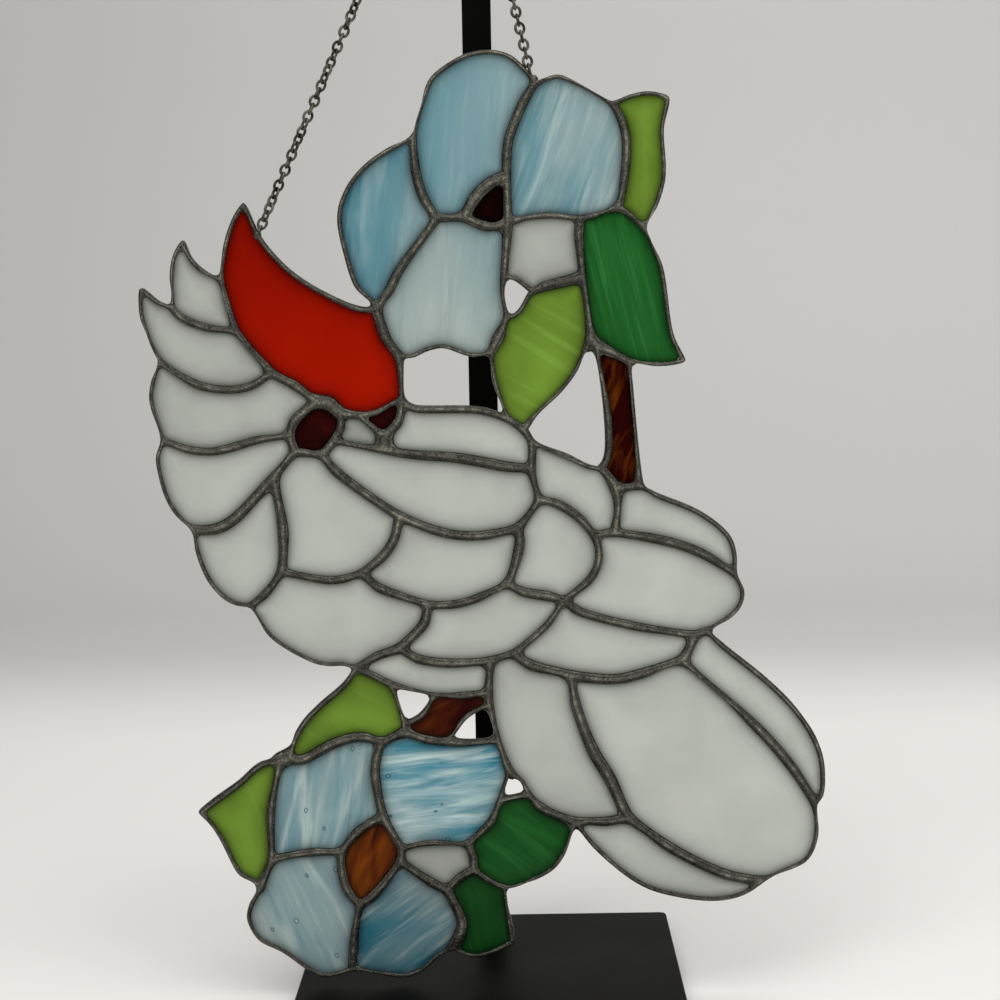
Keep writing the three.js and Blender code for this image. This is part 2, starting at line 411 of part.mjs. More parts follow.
// The edge of the solder inside a face: the line that a ball of the given radius rolls along
// while it keeps its distance from every seam around the face.
function windowOf(samples, radius) {
  const n = samples.length;
  const at = (i) => samples[(i + n) % n];
  const widest = Math.max(...samples.map((s) => s.half));
  const inside = areaOf(samples) > 0;
  const places = [];
  for (let i = 0; i < n; i++) {
    const [a, b, c] = [at(i), at(i + 1), at(i + 2)];
    const half = (a.half + b.half) / 2;
    const normal = leftOf(a, b);
    places.push({ foot: new THREE.Vector2((a.x + b.x) / 2, (a.y + b.y) / 2), normal, half });
    const turn = leftOf(b, c).angle() - normal.angle();
    const bend = Math.atan2(Math.sin(turn), Math.cos(turn));
    const steps = bend < -ROUND_FROM ? Math.ceil(-bend / ROUND_STEP) : 0;
    for (let k = 1; k < steps; k++) {
      const around = normal.clone().rotateAround(new THREE.Vector2(), (bend * k) / steps);
      places.push({ foot: b.clone(), normal: around, half: b.half });
    }
  }
  const kept = [];
  for (const place of places) {
    const centre = place.foot.clone().addScaledVector(place.normal, place.half + radius);
    const reach = widest + radius + SAMPLE;
    const clear = contains(samples, centre) === inside && samples.every((a, i) => {
      if (Math.abs(a.x - centre.x) > reach + SAMPLE || Math.abs(a.y - centre.y) > reach + SAMPLE)
        return true;
      const b = at(i + 1);
      return distanceToSegment(centre, a, b) >= (a.half + b.half) / 2 + radius - TOUCH;
    });
    kept.push(clear ? { centre, normal: place.normal } : null);
  }
  const line = [];
  let last = null;
  const first = kept.findIndex((k, i) => k && !kept[(i + kept.length - 1) % kept.length]);
  const order = kept.map((_, i) => kept[(i + Math.max(0, first)) % kept.length]);
  let skipped = false;
  const corner = (from, to) => {
    const turn = Math.atan2(
      Math.sin(to.normal.angle() - from.normal.angle()),
      Math.cos(to.normal.angle() - from.normal.angle()));
    if (turn < CORNER_STEP) return;
    const middle = from.centre.clone().add(to.centre).multiplyScalar(0.5);
    const steps = Math.ceil(turn / CORNER_STEP);
    for (let k = 1; k < steps; k++) {
      const around = from.normal.clone().rotateAround(new THREE.Vector2(), (turn * k) / steps);
      line.push(middle.clone().addScaledVector(around, -radius));
    }
  };
  for (const k of order) {
    if (!k) {
      skipped = true;
      continue;
    }
    if (last && skipped) corner(last, k);
    line.push(k.centre.clone().addScaledVector(k.normal, -radius));
    last = k;
    skipped = false;
  }
  if (skipped && last) corner(last, order.find((k) => k));
  const middle = Math.floor(line.length / 2);
  const turned = untangle([...line.slice(middle), ...line.slice(0, middle)]);
  return untangle([...turned.slice(middle), ...turned.slice(0, middle)]);
}

// Cuts off the small knots that a line ties where two seams meet at a sharp angle.
function untangle(line) {
  const open = [...line];
  for (let i = 0; i < open.length - 3; i++) {
    for (let j = Math.min(open.length - 2, i + KNOT); j > i + 1; j--) {
      const [a, b, c, d] = [open[i], open[i + 1], open[j], open[j + 1]];
      if (cross(a, b, c) * cross(a, b, d) >= 0 || cross(c, d, a) * cross(c, d, b) >= 0) continue;
      const share = cross(c, d, a) / (cross(c, d, a) - cross(c, d, b));
      open.splice(i + 1, j - i, a.clone().lerp(b, share));
      break;
    }
  }
  return open;
}

function areaOf(loop) {
  return loop.reduce((sum, p, i) => {
    const q = loop[(i + 1) % loop.length];
    return sum + (p.x * q.y - q.x * p.y) / 2;
  }, 0);
}

function contains(loop, point) {
  let inside = false;
  loop.forEach((a, i) => {
    const b = loop[(i + 1) % loop.length];
    if (a.y > point.y !== b.y > point.y &&
        point.x < a.x + ((b.x - a.x) * (point.y - a.y)) / (b.y - a.y)) inside = !inside;
  });
  return inside;
}

// Joins two loops that run side by side, the outer one on the right of the inner one, with
// the shortest set of triangles that all face the same way: [[outer | inner, index] x 3].
function stitch(outer, inner) {
  const n = outer.length;
  const m = inner.length;
  let best = null;
  for (let shift = 0; shift < m; shift++) {
    const O = (i) => outer[i % n];
    const I = (j) => inner[(j + shift) % m];
    const cost = Array.from({ length: n + 1 }, () => new Float64Array(m + 1).fill(Infinity));
    const stepOuter = Array.from({ length: n + 1 }, () => new Uint8Array(m + 1));
    cost[0][0] = 0;
    for (let i = 0; i <= n; i++) {
      for (let j = 0; j <= m; j++) {
        if (i + j === 0) continue;
        const rung = O(i).distanceTo(I(j));
        if (i > 0) {
          const flat = cross(O(i - 1), O(i), I(j)) > SLIVER ? 0 : FOLD_COST;
          cost[i][j] = cost[i - 1][j] + rung + flat;
          stepOuter[i][j] = 1;
        }
        if (j > 0) {
          const flat = cross(O(i), I(j), I(j - 1)) > SLIVER ? 0 : FOLD_COST;
          const c = cost[i][j - 1] + rung + flat;
          if (c < cost[i][j]) {
            cost[i][j] = c;
            stepOuter[i][j] = 0;
          }
        }
      }
    }
    if (best && cost[n][m] >= best.cost) continue;
    const triangles = [];
    for (let i = n, j = m; i + j > 0; ) {
      const inAt = (k) => ['inner', (k + shift) % m];
      if (stepOuter[i][j]) {
        triangles.push([['outer', (i - 1) % n], ['outer', i % n], inAt(j)]);
        i--;
      } else {
        triangles.push([['outer', i % n], inAt(j), inAt(j - 1)]);
        j--;
      }
    }
    best = { cost: cost[n][m], triangles };
  }
  return best.triangles;
}

// ---------------------------------------------------------------- solids
function manifoldOf(geometry) {
  const bare = geometry.clone();
  bare.deleteAttribute('normal');
  bare.deleteAttribute('uv');
  const merged = mergeVertices(bare, MERGE);
  return new wasm.Manifold(new wasm.Mesh({
    numProp: 3,
    vertProperties: new Float32Array(merged.attributes.position.array),
    triVerts: new Uint32Array(merged.index.array),
  }));
}

function geometryOf(solid) {
  const mesh = solid.getMesh();
  const positions = new Float32Array(mesh.numVert * 3);
  for (let i = 0; i < mesh.numVert; i++)
    for (let k = 0; k < 3; k++)
      positions[3 * i + k] = mesh.vertProperties[i * mesh.numProp + k];
  const geometry = new THREE.BufferGeometry();
  geometry.setAttribute('position', new THREE.BufferAttribute(positions, 3));
  geometry.setIndex(new THREE.BufferAttribute(new Uint32Array(mesh.triVerts), 1));
  geometry.computeVertexNormals();
  return geometry;
}

// The solder lattice: along every seam a ridge stands over the glass on both faces, and from
// the ridge the bead falls to the edge of each window, where a wall joins the two faces.
function latticeGeometry(faces) {
  const positions = [];
  const index = [];
  const vertex = (p, depth) => positions.push(p.x, PANEL_Y + depth, p.y) / 3 - 1;
  const ridge = new Map();
  const ridgeAt = (p) => {
    if (!ridge.has(p.id)) {
      const depth = GLASS / 2 + BEAD_RISE * p.half;
      ridge.set(p.id, { front: vertex(p, -depth), back: vertex(p, depth) });
    }
    return ridge.get(p.id);
  };
  for (const { ridgeLoop, windowLoop } of faces) {
    const outer = ridgeLoop.map(ridgeAt);
    const inner = windowLoop.map((p) => (
      { front: vertex(p, -GLASS / 2), back: vertex(p, GLASS / 2) }));
    const loops = { outer, inner };
    for (const triangle of stitch(ridgeLoop, windowLoop)) {
      const [a, b, c] = triangle.map(([loop, i]) => loops[loop][i]);
      index.push(a.front, b.front, c.front, c.back, b.back, a.back);
    }
    inner.forEach((a, i) => {
      const b = inner[(i + 1) % inner.length];
      index.push(a.front, b.front, b.back, a.front, b.back, a.back);
    });
  }
  const geometry = new THREE.BufferGeometry();
  geometry.setAttribute('position', new THREE.Float32BufferAttribute(positions, 3));
  geometry.setIndex(index);
  return geometry;
}

// A pane fills its window, a narrow gap inside it all round.
function paneGeometry(windowLoop) {
  const n = windowLoop.length;
  const corners = windowLoop.map((p, i) => {
    const before = leftOf(windowLoop[(i + n - 1) % n], p);
    const after = leftOf(p, windowLoop[(i + 1) % n]);
    const middle = before.clone().add(after).normalize();
    return p.clone().addScaledVector(middle, PANE_GAP / Math.max(MITRE, middle.dot(after)));
  });
  const geometry = new THREE.ExtrudeGeometry(new THREE.Shape(corners),
    { depth: GLASS, bevelEnabled: false, curveSegments: 1 });
  return geometry.rotateX(Math.PI / 2).translate(0, PANEL_Y + GLASS / 2, 0);
}

// One chain link: an oval of round wire, long way along X, flat in XY. Its corners stand so that
// a straight piece of wire crosses each end.
function linkGeometry() {
  const { rounds, sides } = LINK;
  const reach = 1 / Math.cos(Math.PI / rounds);
  const [long, wide] = [(LINK.length - LINK.wire) / 2, (LINK.width - LINK.wire) / 2];
  const positions = [];
  const index = [];
  for (let i = 0; i < rounds; i++) {
    const angle = (2 * Math.PI * (i + 0.5)) / rounds;
    for (let k = 0; k < sides; k++) {
      const turn = (2 * Math.PI * k) / sides + Math.PI;
      const off = (LINK.wire / 2) * Math.cos(turn);
      positions.push(
        (long + off) * reach * Math.cos(angle),
        (wide + off) * Math.min(LINK.widening, reach) * Math.sin(angle),
        (LINK.wire / 2) * Math.sin(turn));
      const [a, b] = [i * sides + k, i * sides + ((k + 1) % sides)];
      const next = ((i + 1) % rounds) * sides;
      const [c, d] = [next + k, next + ((k + 1) % sides)];
      index.push(a, b, c, b, d, c);
    }
  }
  const geometry = new THREE.BufferGeometry();
  geometry.setAttribute('position', new THREE.Float32BufferAttribute(positions, 3));
  geometry.setIndex(index);
  return geometry;
}

// A link at a place [x, z] of the panel's plane, running along a direction and turned about it.
function linkAt(place, direction, turn) {
  const along = new THREE.Vector3(direction.x, 0, direction.y).normalize();
  const front = new THREE.Vector3(0, 1, 0);
  const across = new THREE.Vector3().crossVectors(front, along);
  const basis = new THREE.Matrix4().makeBasis(along, across.negate(), front);
  const pose = new THREE.Matrix4().makeTranslation(place.x, PANEL_Y, place.y)
    .multiply(basis).multiply(new THREE.Matrix4().makeRotationX(turn));
  return linkGeometry().applyMatrix4(pose);
}

const fuse = (geometries) => geometries.map(manifoldOf).reduce((all, next) => all.add(next));

// The chain's route: up from one end, over the flat seat of the hook, and down to the other.
function chainRoute() {
  const off = LINK.width / 2 + CHAIN_CLEARANCE;
  const [left, right] = [LEFT_END, RIGHT_END].map(plan);
  const corners = [-1, 1].map((side) =>
    new THREE.Vector2(BAR.seatX + (side * BAR.width) / 2, BAR.seatZ));
  const tangentAt = (end, corner, side) => {
    const towards = corner.clone().sub(end);
    const lean = Math.asin(off / towards.length());
    return towards.angle() + side * lean;
  };
  const turns = 6;
  const arc = (corner, from, to) => Array.from({ length: turns + 1 }, (_, i) => {
    const a = from + ((to - from) * i) / turns;
    return new THREE.Vector2(corner.x + off * Math.cos(a), corner.y + off * Math.sin(a));
  });
  const leftLine = tangentAt(left, corners[0], 1);
  const rightLine = tangentAt(right, corners[1], -1);
  return [
    left,
    ...arc(corners[0], leftLine + Math.PI / 2, Math.PI / 2),
    ...arc(corners[1], Math.PI / 2, rightLine - Math.PI / 2),
    right,
  ];
}

function alongRoute(route, distance) {
  let left = distance;
  for (let i = 1; i < route.length; i++) {
    const step = route[i].distanceTo(route[i - 1]);
    if (left <= step || i === route.length - 1) {
      const direction = route[i].clone().sub(route[i - 1]).normalize();
      return { place: route[i - 1].clone().addScaledVector(direction, left), direction };
    }
    left -= step;
  }
  return null;
}

function flatBox(width, depth, corner) {
  const [x, y] = [width / 2, depth / 2];
  const shape = new THREE.Shape();
  shape.moveTo(-x + corner, -y).lineTo(x - corner, -y);
  shape.absarc(x - corner, -y + corner, corner, -Math.PI / 2, 0);
  shape.lineTo(x, y - corner).absarc(x - corner, y - corner, corner, 0, Math.PI / 2);
  shape.lineTo(-x + corner, y);
  shape.absarc(-x + corner, y - corner, corner, Math.PI / 2, Math.PI);
  shape.lineTo(-x, -y + corner).absarc(-x + corner, -y + corner, corner, Math.PI, 1.5 * Math.PI);
  return shape;
}

// The bar's side view: straight up, bent forward, a flat seat for the chain, a turned-up tip.
function barGeometry() {
  const { width, thickness, back, bend, seatZ, seatX, tip, crown, curl, brace } = BAR;
  const half = thickness / 2;
  const post = back - half;
  const seat = seatZ - half;
  const top = seat + crown;
  const at = (y, z) => new THREE.Vector2(y, z);
  const seatEnds = [at(PANEL_Y + BAR.seatBack, seat), at(PANEL_Y - BAR.seatFront, seat)];
  const middle = new THREE.CurvePath();
  middle.add(new THREE.LineCurve(at(post, BASE.thickness), at(post, top - bend)));
  middle.add(new THREE.EllipseCurve(post - bend, top - bend, bend, bend, 0, Math.PI / 2));
  middle.add(new THREE.CubicBezierCurve(at(post - bend, top), at(post - bend - BAR.dive, top),
    at(PANEL_Y + BAR.level, seat), seatEnds[0]));
  middle.add(new THREE.LineCurve(...seatEnds));
  middle.add(new THREE.CubicBezierCurve(seatEnds[1], at(PANEL_Y - curl[0], seat + curl[1]),
    at(PANEL_Y - brace[0], seat + brace[1]), at(PANEL_Y - BAR.lean, seat + tip)));
  const points = middle.curves.flatMap((curve, i) => {
    return curve.getPoints(curve.isLineCurve ? 1 : BAR.steps).slice(i ? 1 : 0);
  });
  const sideways = (i, side) => {
    const before = points[Math.max(0, i - 1)];
    const after = points[Math.min(points.length - 1, i + 1)];
    const normal = i === 0 ? new THREE.Vector2(-1, 0) : leftOf(before, after);
    return points[i].clone().addScaledVector(normal, side * half);
  };
  const outline = [
    ...points.map((_, i) => sideways(i, 1)),
    ...points.map((_, i) => sideways(points.length - 1 - i, -1)),
  ];
  const geometry = new THREE.ExtrudeGeometry(new THREE.Shape(outline),
    { depth: width, bevelEnabled: false, curveSegments: 1 });
  geometry.applyMatrix4(new THREE.Matrix4().makeBasis(
    new THREE.Vector3(0, 1, 0), new THREE.Vector3(0, 0, 1), new THREE.Vector3(1, 0, 0)));
  geometry.translate(-width / 2, 0, 0);
  // The arm is set a little to one side, so that the panel hangs level under it.
  const position = geometry.attributes.position;
  for (let i = 0; i < position.count; i++) {
    const forward = Math.max(0, back - thickness - position.getY(i));
    position.setX(i, position.getX(i) + (seatX * forward) / (back - thickness - PANEL_Y));
  }
  return geometry;
}

// ---------------------------------------------------------------- assembly
const object = new THREE.Group();

function add(name, geometry, finish) {
  const { color, roughness, metalness = 0 } = FINISHES[finish];
  const material = new THREE.MeshStandardMaterial({ color, roughness, metalness });
  const mesh = new THREE.Mesh(geometry, material);
  mesh.name = name;
  object.add(mesh);
}

const edges = SEAMS.flatMap(edgesOf);
const jointHalf = {};
for (const { from, to, samples } of edges) {
  (jointHalf[from] ??= []).push(samples[0].half);
  (jointHalf[to] ??= []).push(samples[samples.length - 1].half);
}
edges.forEach((edge, number) => {
  edge.ridge = simplify(edge.samples, RIDGE_TOLERANCE);
  edge.ridge.forEach((p, i) => (p.id = number + ':' + i));
  const ends = [[edge.from, 0], [edge.to, edge.ridge.length - 1]];
  for (const [joint, i] of ends) {
    const halves = jointHalf[joint];
    const half = halves.reduce((sum, h) => sum + h, 0) / halves.length;
    edge.ridge[i] = Object.assign(edge.ridge[i].clone(), { half, id: joint });
  }
});

const cells = facesOf(edges).map((loop) => {
  const samples = loop.flatMap((h) => h.samples.slice(0, -1));
  const ridgeLoop = loop.flatMap((h) => {
    const ridge = h.samples === h.edge.samples ? h.edge.ridge : [...h.edge.ridge].reverse();
    return ridge.slice(0, -1);
  });
  const windowLoop = simplifyLoop(windowOf(samples, WINDOW_ROUND), WINDOW_TOLERANCE);
  return { samples, ridgeLoop, windowLoop };
});

for (const [name, finish, inside] of PANES) {
  const cell = cells.find((c) => areaOf(c.samples) > 0 && contains(c.samples, plan(inside)));
  add(name, paneGeometry(cell.windowLoop), finish);
}

// The links are counted from the left end, link 0, to the right end. Neighbours press on each
// other a little, except over the hook, where the two runs meet with some play.
const route = chainRoute();
const lengths = route.map((p, i) => (i ? p.distanceTo(route[i - 1]) : 0));
const routeLength = lengths.reduce((sum, length) => sum + length, 0);
const leftLength = lengths.slice(0, lengths.length / 2).reduce((sum, length) => sum + length, 0);
const lastLink = 2 * Math.round((routeLength + LINK.play) / LINK.pitch / 2);
const pitch = (routeLength + LINK.play) / lastLink;
const topLink = Math.round((leftLength / routeLength) * lastLink);

function placeLink(k) {
  const play = k <= topLink ? 0 : LINK.play;
  const { place, direction } = alongRoute(route, k * pitch - play);
  const quarter = k % 2 ? 0 : Math.PI / 2;
  const twist = k <= topLink ? (2 * Math.PI * LINK.twists * k) / topLink : 0;
  return linkAt(place, direction, quarter + twist);
}

function run(from, to) {
  const links = [];
  for (let k = from; k <= to; k++) links.push(placeLink(k));
  return geometryOf(fuse(links));
}

add('solder_lattice', latticeGeometry(cells), 'solder');
add('chain_left', run(0, topLink), 'steel');
add('chain_right', run(topLink + 1, lastLink), 'steel');

const plate = new THREE.ExtrudeGeometry(flatBox(BASE.side, BASE.side, BASE.corner),
  { depth: BASE.thickness, bevelEnabled: false, curveSegments: 4 });
add('stand_base', plate, 'black');
add('stand_bar', barGeometry(), 'black');

export default object;
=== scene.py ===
"""The looks of a stained glass suncatcher: a crested bird between two flowers, panes of glass in a
lattice of dark solder, hung by a chain from the hook of a flat black steel display stand."""

import math

import bmesh
import bpy
from bpy.props import FloatProperty, FloatVectorProperty, IntProperty, PointerProperty
from bpy.types import Operator, Panel, PropertyGroup
from mathutils import Euler, Matrix, Vector, geometry, noise


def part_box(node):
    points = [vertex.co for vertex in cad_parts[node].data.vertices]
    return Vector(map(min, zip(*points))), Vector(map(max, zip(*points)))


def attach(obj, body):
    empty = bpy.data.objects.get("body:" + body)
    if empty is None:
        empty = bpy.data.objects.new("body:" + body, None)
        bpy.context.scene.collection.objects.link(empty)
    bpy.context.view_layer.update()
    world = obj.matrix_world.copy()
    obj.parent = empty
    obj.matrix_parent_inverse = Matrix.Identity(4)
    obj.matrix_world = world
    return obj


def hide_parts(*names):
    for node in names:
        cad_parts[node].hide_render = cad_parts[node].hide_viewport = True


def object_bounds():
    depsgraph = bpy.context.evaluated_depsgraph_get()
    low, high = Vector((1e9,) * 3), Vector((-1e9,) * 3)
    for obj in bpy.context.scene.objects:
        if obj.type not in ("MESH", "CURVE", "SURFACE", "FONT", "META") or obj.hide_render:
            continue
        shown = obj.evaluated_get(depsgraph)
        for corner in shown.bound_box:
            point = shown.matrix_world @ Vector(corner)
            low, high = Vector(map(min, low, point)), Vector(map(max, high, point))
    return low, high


bl_info = {
    "name": "Stained glass suncatcher",
    "version": (1, 0, 0),
    "blender": (4, 5, 0),
    "location": "View3D > Sidebar > Suncatcher",
    "description": "Glass, solder, chain and stand for the hung panel of a crested bird",
    "category": "Add Mesh",
}

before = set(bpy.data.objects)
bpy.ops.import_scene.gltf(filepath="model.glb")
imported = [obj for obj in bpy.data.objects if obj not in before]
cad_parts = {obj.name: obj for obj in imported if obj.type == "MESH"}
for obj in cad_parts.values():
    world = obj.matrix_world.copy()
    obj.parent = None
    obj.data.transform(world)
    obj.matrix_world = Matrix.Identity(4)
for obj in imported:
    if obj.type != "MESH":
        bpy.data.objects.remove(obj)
CAD_BOX = [list(corner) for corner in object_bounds()]

MM = 0.001
ROOT = "root"

# Each pane's glass, the lean of its streaks in degrees from upright, how strong they are, and
# how much light the pane passes.
PANES = {
    "petal_left": ("sea", -8, 0.5, 0.86),
    "petal_high": ("sky", -8, 0.35, 0.87),
    "petal_right": ("sky", -20, 1.2, 0.84),
    "petal_low": ("sky", -6, 0.7, 0.78),
    "petal_small": ("white", 0, 0.5, 0.82),
    "flower_heart": ("garnet", 0, 0.5, 0.25),
    "leaf_tall": ("lime", 0, 0.4, 1.00),
    "leaf_dark": ("forest", 14, 1.0, 1.45),
    "leaf_lime": ("lime", 58, 0.9, 1.08),
    "stem": ("amber", -24, 1.3, 0.90),
    "crest": ("flame", 0, 0.5, 0.93),
    "crest_feather_upper": ("white", 0, 0.5, 0.84),
    "crest_feather_lower": ("white", 40, 0.5, 0.84),
    "ruff_upper": ("white", 0, 0.5, 0.84),
    "ruff_middle": ("white", 60, 0.5, 0.95),
    "ruff_lower": ("white", 0, 0.5, 0.93),
    "cheek": ("white", 0, 0.5, 0.93),
    "eye": ("garnet", 0, 0.6, 1.00),
    "face": ("white", 0, 0.4, 0.66),
    "beak": ("garnet", 0, 0.6, 1.40),
    "nape": ("white", 90, 0.5, 1.00),
    "neck": ("white", 80, 0.5, 0.94),
    "shoulder": ("white", 90, 0.5, 0.93),
    "breast": ("white", 70, 0.5, 0.92),
    "belly_upper": ("white", 90, 0.5, 0.97),
    "belly_lower": ("white", 80, 0.5, 1.03),
    "back_upper": ("white", 0, 0.5, 0.97),
    "back_middle": ("white", 0, 0.5, 0.94),
    "wing_upper": ("white", 60, 0.5, 1.02),
    "wing_middle": ("white", 80, 0.5, 1.00),
    "wing_lower": ("white", 80, 0.5, 0.95),
    "tail_inner": ("white", 30, 0.5, 0.92),
    "tail_broad": ("white", 40, 0.5, 1.00),
    "tail_outer": ("white", 40, 0.5, 1.01),
    "tail_lower": ("white", 60, 0.5, 0.97),
    "twig": ("amber", -60, 0.35, 1.08),
    "low_leaf_lime": ("lime", 60, 0.5, 1.03),
    "low_leaf_tip": ("lime", 20, 0.6, 1.05),
    "low_petal_left": ("sky", -10, 1.4, 0.82),
    "low_petal_right": ("sea", -82, 2.0, 1.02),
    "low_petal_foot": ("sky", 24, 1.4, 0.77),
    "low_petal_base": ("sea", -56, 1.7, 0.62),
    "low_flower_heart": ("amber", -20, 1.0, 1.00),
    "low_petal_small": ("white", 0, 0.7, 0.75),
    "low_leaf_dark": ("forest", 50, 0.8, 1.10),
    "low_leaf_foot": ("forest", 10, 0.7, 0.82),
}
# How pale the glass is at a pane's four corners: low left, low right, high left, high right.
# In amber glass it is how much of the amber shows; a pane that isn't named here has none.
PALE = {
    "petal_left": (0.10, 0.50, 0.0, 0.40), "petal_high": (0.05, 0.25, 0.0, 0.40),
    "petal_right": (0.0, 0.40, 0.10, 0.65), "petal_low": (1.0, 0.85, 0.85, 0.40),
    "low_petal_left": (0.15, 0.30, 0.25, 0.35), "low_petal_right": (0.65, 0.10, 0.10, 0.0),
    "low_petal_foot": (0.65, 0.35, 0.35, 0.55), "low_petal_base": (0.0, 0.10, 0.10, 0.85),
    "low_flower_heart": (0.75, 0.65, 0.65, 0.75), "stem": (0.10, 0.0, 0.0, 0.12),
    "twig": (0.20, 0.15, 0.15, 0.20),
}
GLASS_SLOTS = {name: name + "_glass" for name in
               ("white", "sky", "sea", "lime", "forest", "amber", "garnet", "flame")}

# ------------------------------------------------------------------ what stays as it is
# Colours that go with those a user may change.
MILK_STREAK = (0.50, 0.515, 0.48)
LIME_BAND = (0.20, 0.34, 0.06)
FOREST_LIGHT = (0.035, 0.16, 0.045)
AMBER_DARK = (0.024, 0.0006, 0.0003)
FLAME_GLOW = (0.36, 0.010, 0.0006)
# Painted shade at the foot of the solder beads, near black.
FOOT_SHADE = (0.003, 0.003, 0.0025)
CHAIN_DARK = (0.022, 0.020, 0.015)
CHAIN_WORN = (0.15, 0.14, 0.11)
DUST = (0.10, 0.10, 0.10)

MIDDLE = sum(corner[1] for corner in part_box("solder_lattice")) / 2
HALF_GLASS = (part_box("petal_left")[1][1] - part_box("petal_left")[0][1]) / 2

# How the lattice is read from the front of its CAD solid.
SAME_POINT = 0.005 * MM
NO_LENGTH = 1e-6 * MM
RIDGE_RISE = 0.1 * MM  # a point that stands this far out of the glass is on a ridge
FRONT_REACH = 0.01 * MM  # and a face is on the front if none of its points is deeper than this
CORNER = math.radians(62)  # a sharper turn than this stays a corner
OUTER_CORNER = math.radians(150)  # and a sharper one than this on the outline
OUTLINE_WIDTH = 200 * MM  # a window that is wider than this is the outline

# The beads of solder. Rows of points lie at these shares of the way from crest to foot.
BEAD_ROWS = (0.34, 0.62, 0.85)
EDGE_ROWS = (0.34, 0.62, 0.82, 0.95)
SINK = 0.04 * MM  # how deep a bead's foot goes into the glass
EDGE_POWER = 2.6  # roundness of the rim: 2 is a circle, and more is squarer
CREST_LIFT = 1.06
LUMP_SIZE = 3.4 * MM
FINER = 2.3  # how much finer the second set of lumps is
WELD = 0.002 * MM

# The blobs of solder that hold the chain's ends: their middles and their half sizes.
CHAIN_FEET = [Vector((-83.0, 296.4)) * MM, Vector((22.6, 352.4)) * MM]
BLOB = (1.7 * MM, 2.5 * MM, 1.9 * MM)
BLOB_ROWS = 8
# How near the crest the blobs' points count, so they take part of the crests' rubbed patina and
# painted highlight.
BLOB_WEAR_AND_HIGHLIGHT = 0.8

# The panes. Rows of points follow the solder at these depths, for the shade beside it.
RIM_ROWS = (0.8 * MM, 1.8 * MM, 3.1 * MM)
RIM_REACH = 1.95 * MM
RIM_SHADE = 0.8
INSIDE_ONLY = 1  # what the triangulation keeps
SAME_SPOT = 1e-4 * MM
ROW_GAP = 0.85  # a point of a row keeps at least this share of its depth from the solder
DRIFT = 0.137  # how far the pattern moves from one pane to the next, in metres
DRIFT_X = 0.9
DRIFT_Z = 0.37

# The chain's route, as it is laid over the hook: middles of its end links, and the hook's seat.
CHAIN_LEFT_END = Vector((-82.2, 297.9)) * MM
CHAIN_RIGHT_END = Vector((21.0, 356.2)) * MM
HOOK_SEAT = Vector((-6.6, 443)) * MM
HOOK_WIDTH = 12 * MM
CHAIN_STANDOFF = 2.38 * MM
ARC_STEPS = 6

# The steel's faces and edges.
SAME_STEEL = 0.01 * MM
FLAT = math.radians(0.5)  # faces that turn less than this become one
SHARP = math.radians(40)  # and edges that turn more are rounded
BEVEL_STEPS = 3

# The stage, in metres. The floor bends up into the wall, and its colour gives way to the wall's
# duller one, which is painted shade on the backdrop, between the two depths of the seam.
FLOOR_WIDTH = 5.0
FLOOR_FRONT = -2.2
WALL_BACK = 1.6
WALL_HEIGHT = 2.6
BEND = 0.6
BEND_STEPS = 12
SEAM = (0.45, 0.85)
# Each soft light's place, target, sides and watts.
LIGHTS = {
    "top": ((0.3, -0.4, 1.9), (0.1, 0.1, 0), (2.0, 1.6), 26),
    "key": ((-0.9, -1.5, 1.3), (0, 0, 0.2), (1.4, 1.2), 18),
    "fill": ((1.3, -1.3, 0.8), (0, 0, 0.2), (1.4, 1.4), 11),
    "wash": ((0.4, 0.5, 1.9), (1.3, 1.6, 0.9), (0.8, 0.6), 11),
}
WORLD_COLOUR = (0.95, 0.95, 0.93, 1)
WORLD_STRENGTH = 0.2


# ------------------------------------------------------------------ what a user may change
def colour_property(name, description, default):
    return FloatVectorProperty(
        name=name, description=description, default=default, size=3, min=0, max=1,
        subtype="COLOR")


class SolderSettings(PropertyGroup):
    step: FloatProperty(
        name="Step", description="Spacing of the points along a bead", default=1.284 * MM,
        min=0.5 * MM, unit="LENGTH")
    lumps: FloatProperty(
        name="Lumps", description="How uneven the beads' height is, as a share of it",
        default=0.16, min=0, max=0.5, subtype="FACTOR")
    colour: colour_property(
        "Patina", "Colour of the solder where the patina is whole", (0.029, 0.0285, 0.0225))
    # Besides the rubbed patina, this colour is a painted highlight along the crests.
    crest: colour_property(
        "Crest", "Colour of the solder where the patina is rubbed thin", (0.26, 0.25, 0.20))


class GlassSettings(PropertyGroup):
    tuck: FloatProperty(
        name="Tuck", description="How far a pane runs under the solder", default=0.5 * MM,
        min=0, unit="LENGTH")
    mesh: FloatProperty(
        name="Mesh", description="Spacing of the points across a pane", default=3 * MM,
        min=1 * MM, unit="LENGTH")
    white: colour_property("White", "Milky opal glass of the bird", (0.445, 0.462, 0.420))
    sky: colour_property("Sky", "Pale blue glass of the petals", (0.135, 0.29, 0.335))
    sea: colour_property("Sea", "Deeper blue glass", (0.038, 0.205, 0.275))
    wisp: colour_property("Wisp", "White streaks in the blue glass", (0.42, 0.49, 0.465))
    lime: colour_property("Lime", "Yellow green glass", (0.130, 0.225, 0.026))
    forest: colour_property("Forest", "Dark green glass", (0.011, 0.087, 0.015))
    amber: colour_property("Amber", "Streaks in the dark amber glass", (0.16, 0.036, 0.002))
    garnet: colour_property("Garnet", "Very dark red glass", (0.016, 0.0012, 0.0008))
    flame: colour_property("Flame", "Red glass of the crest", (0.30, 0.0056, 0.0004))


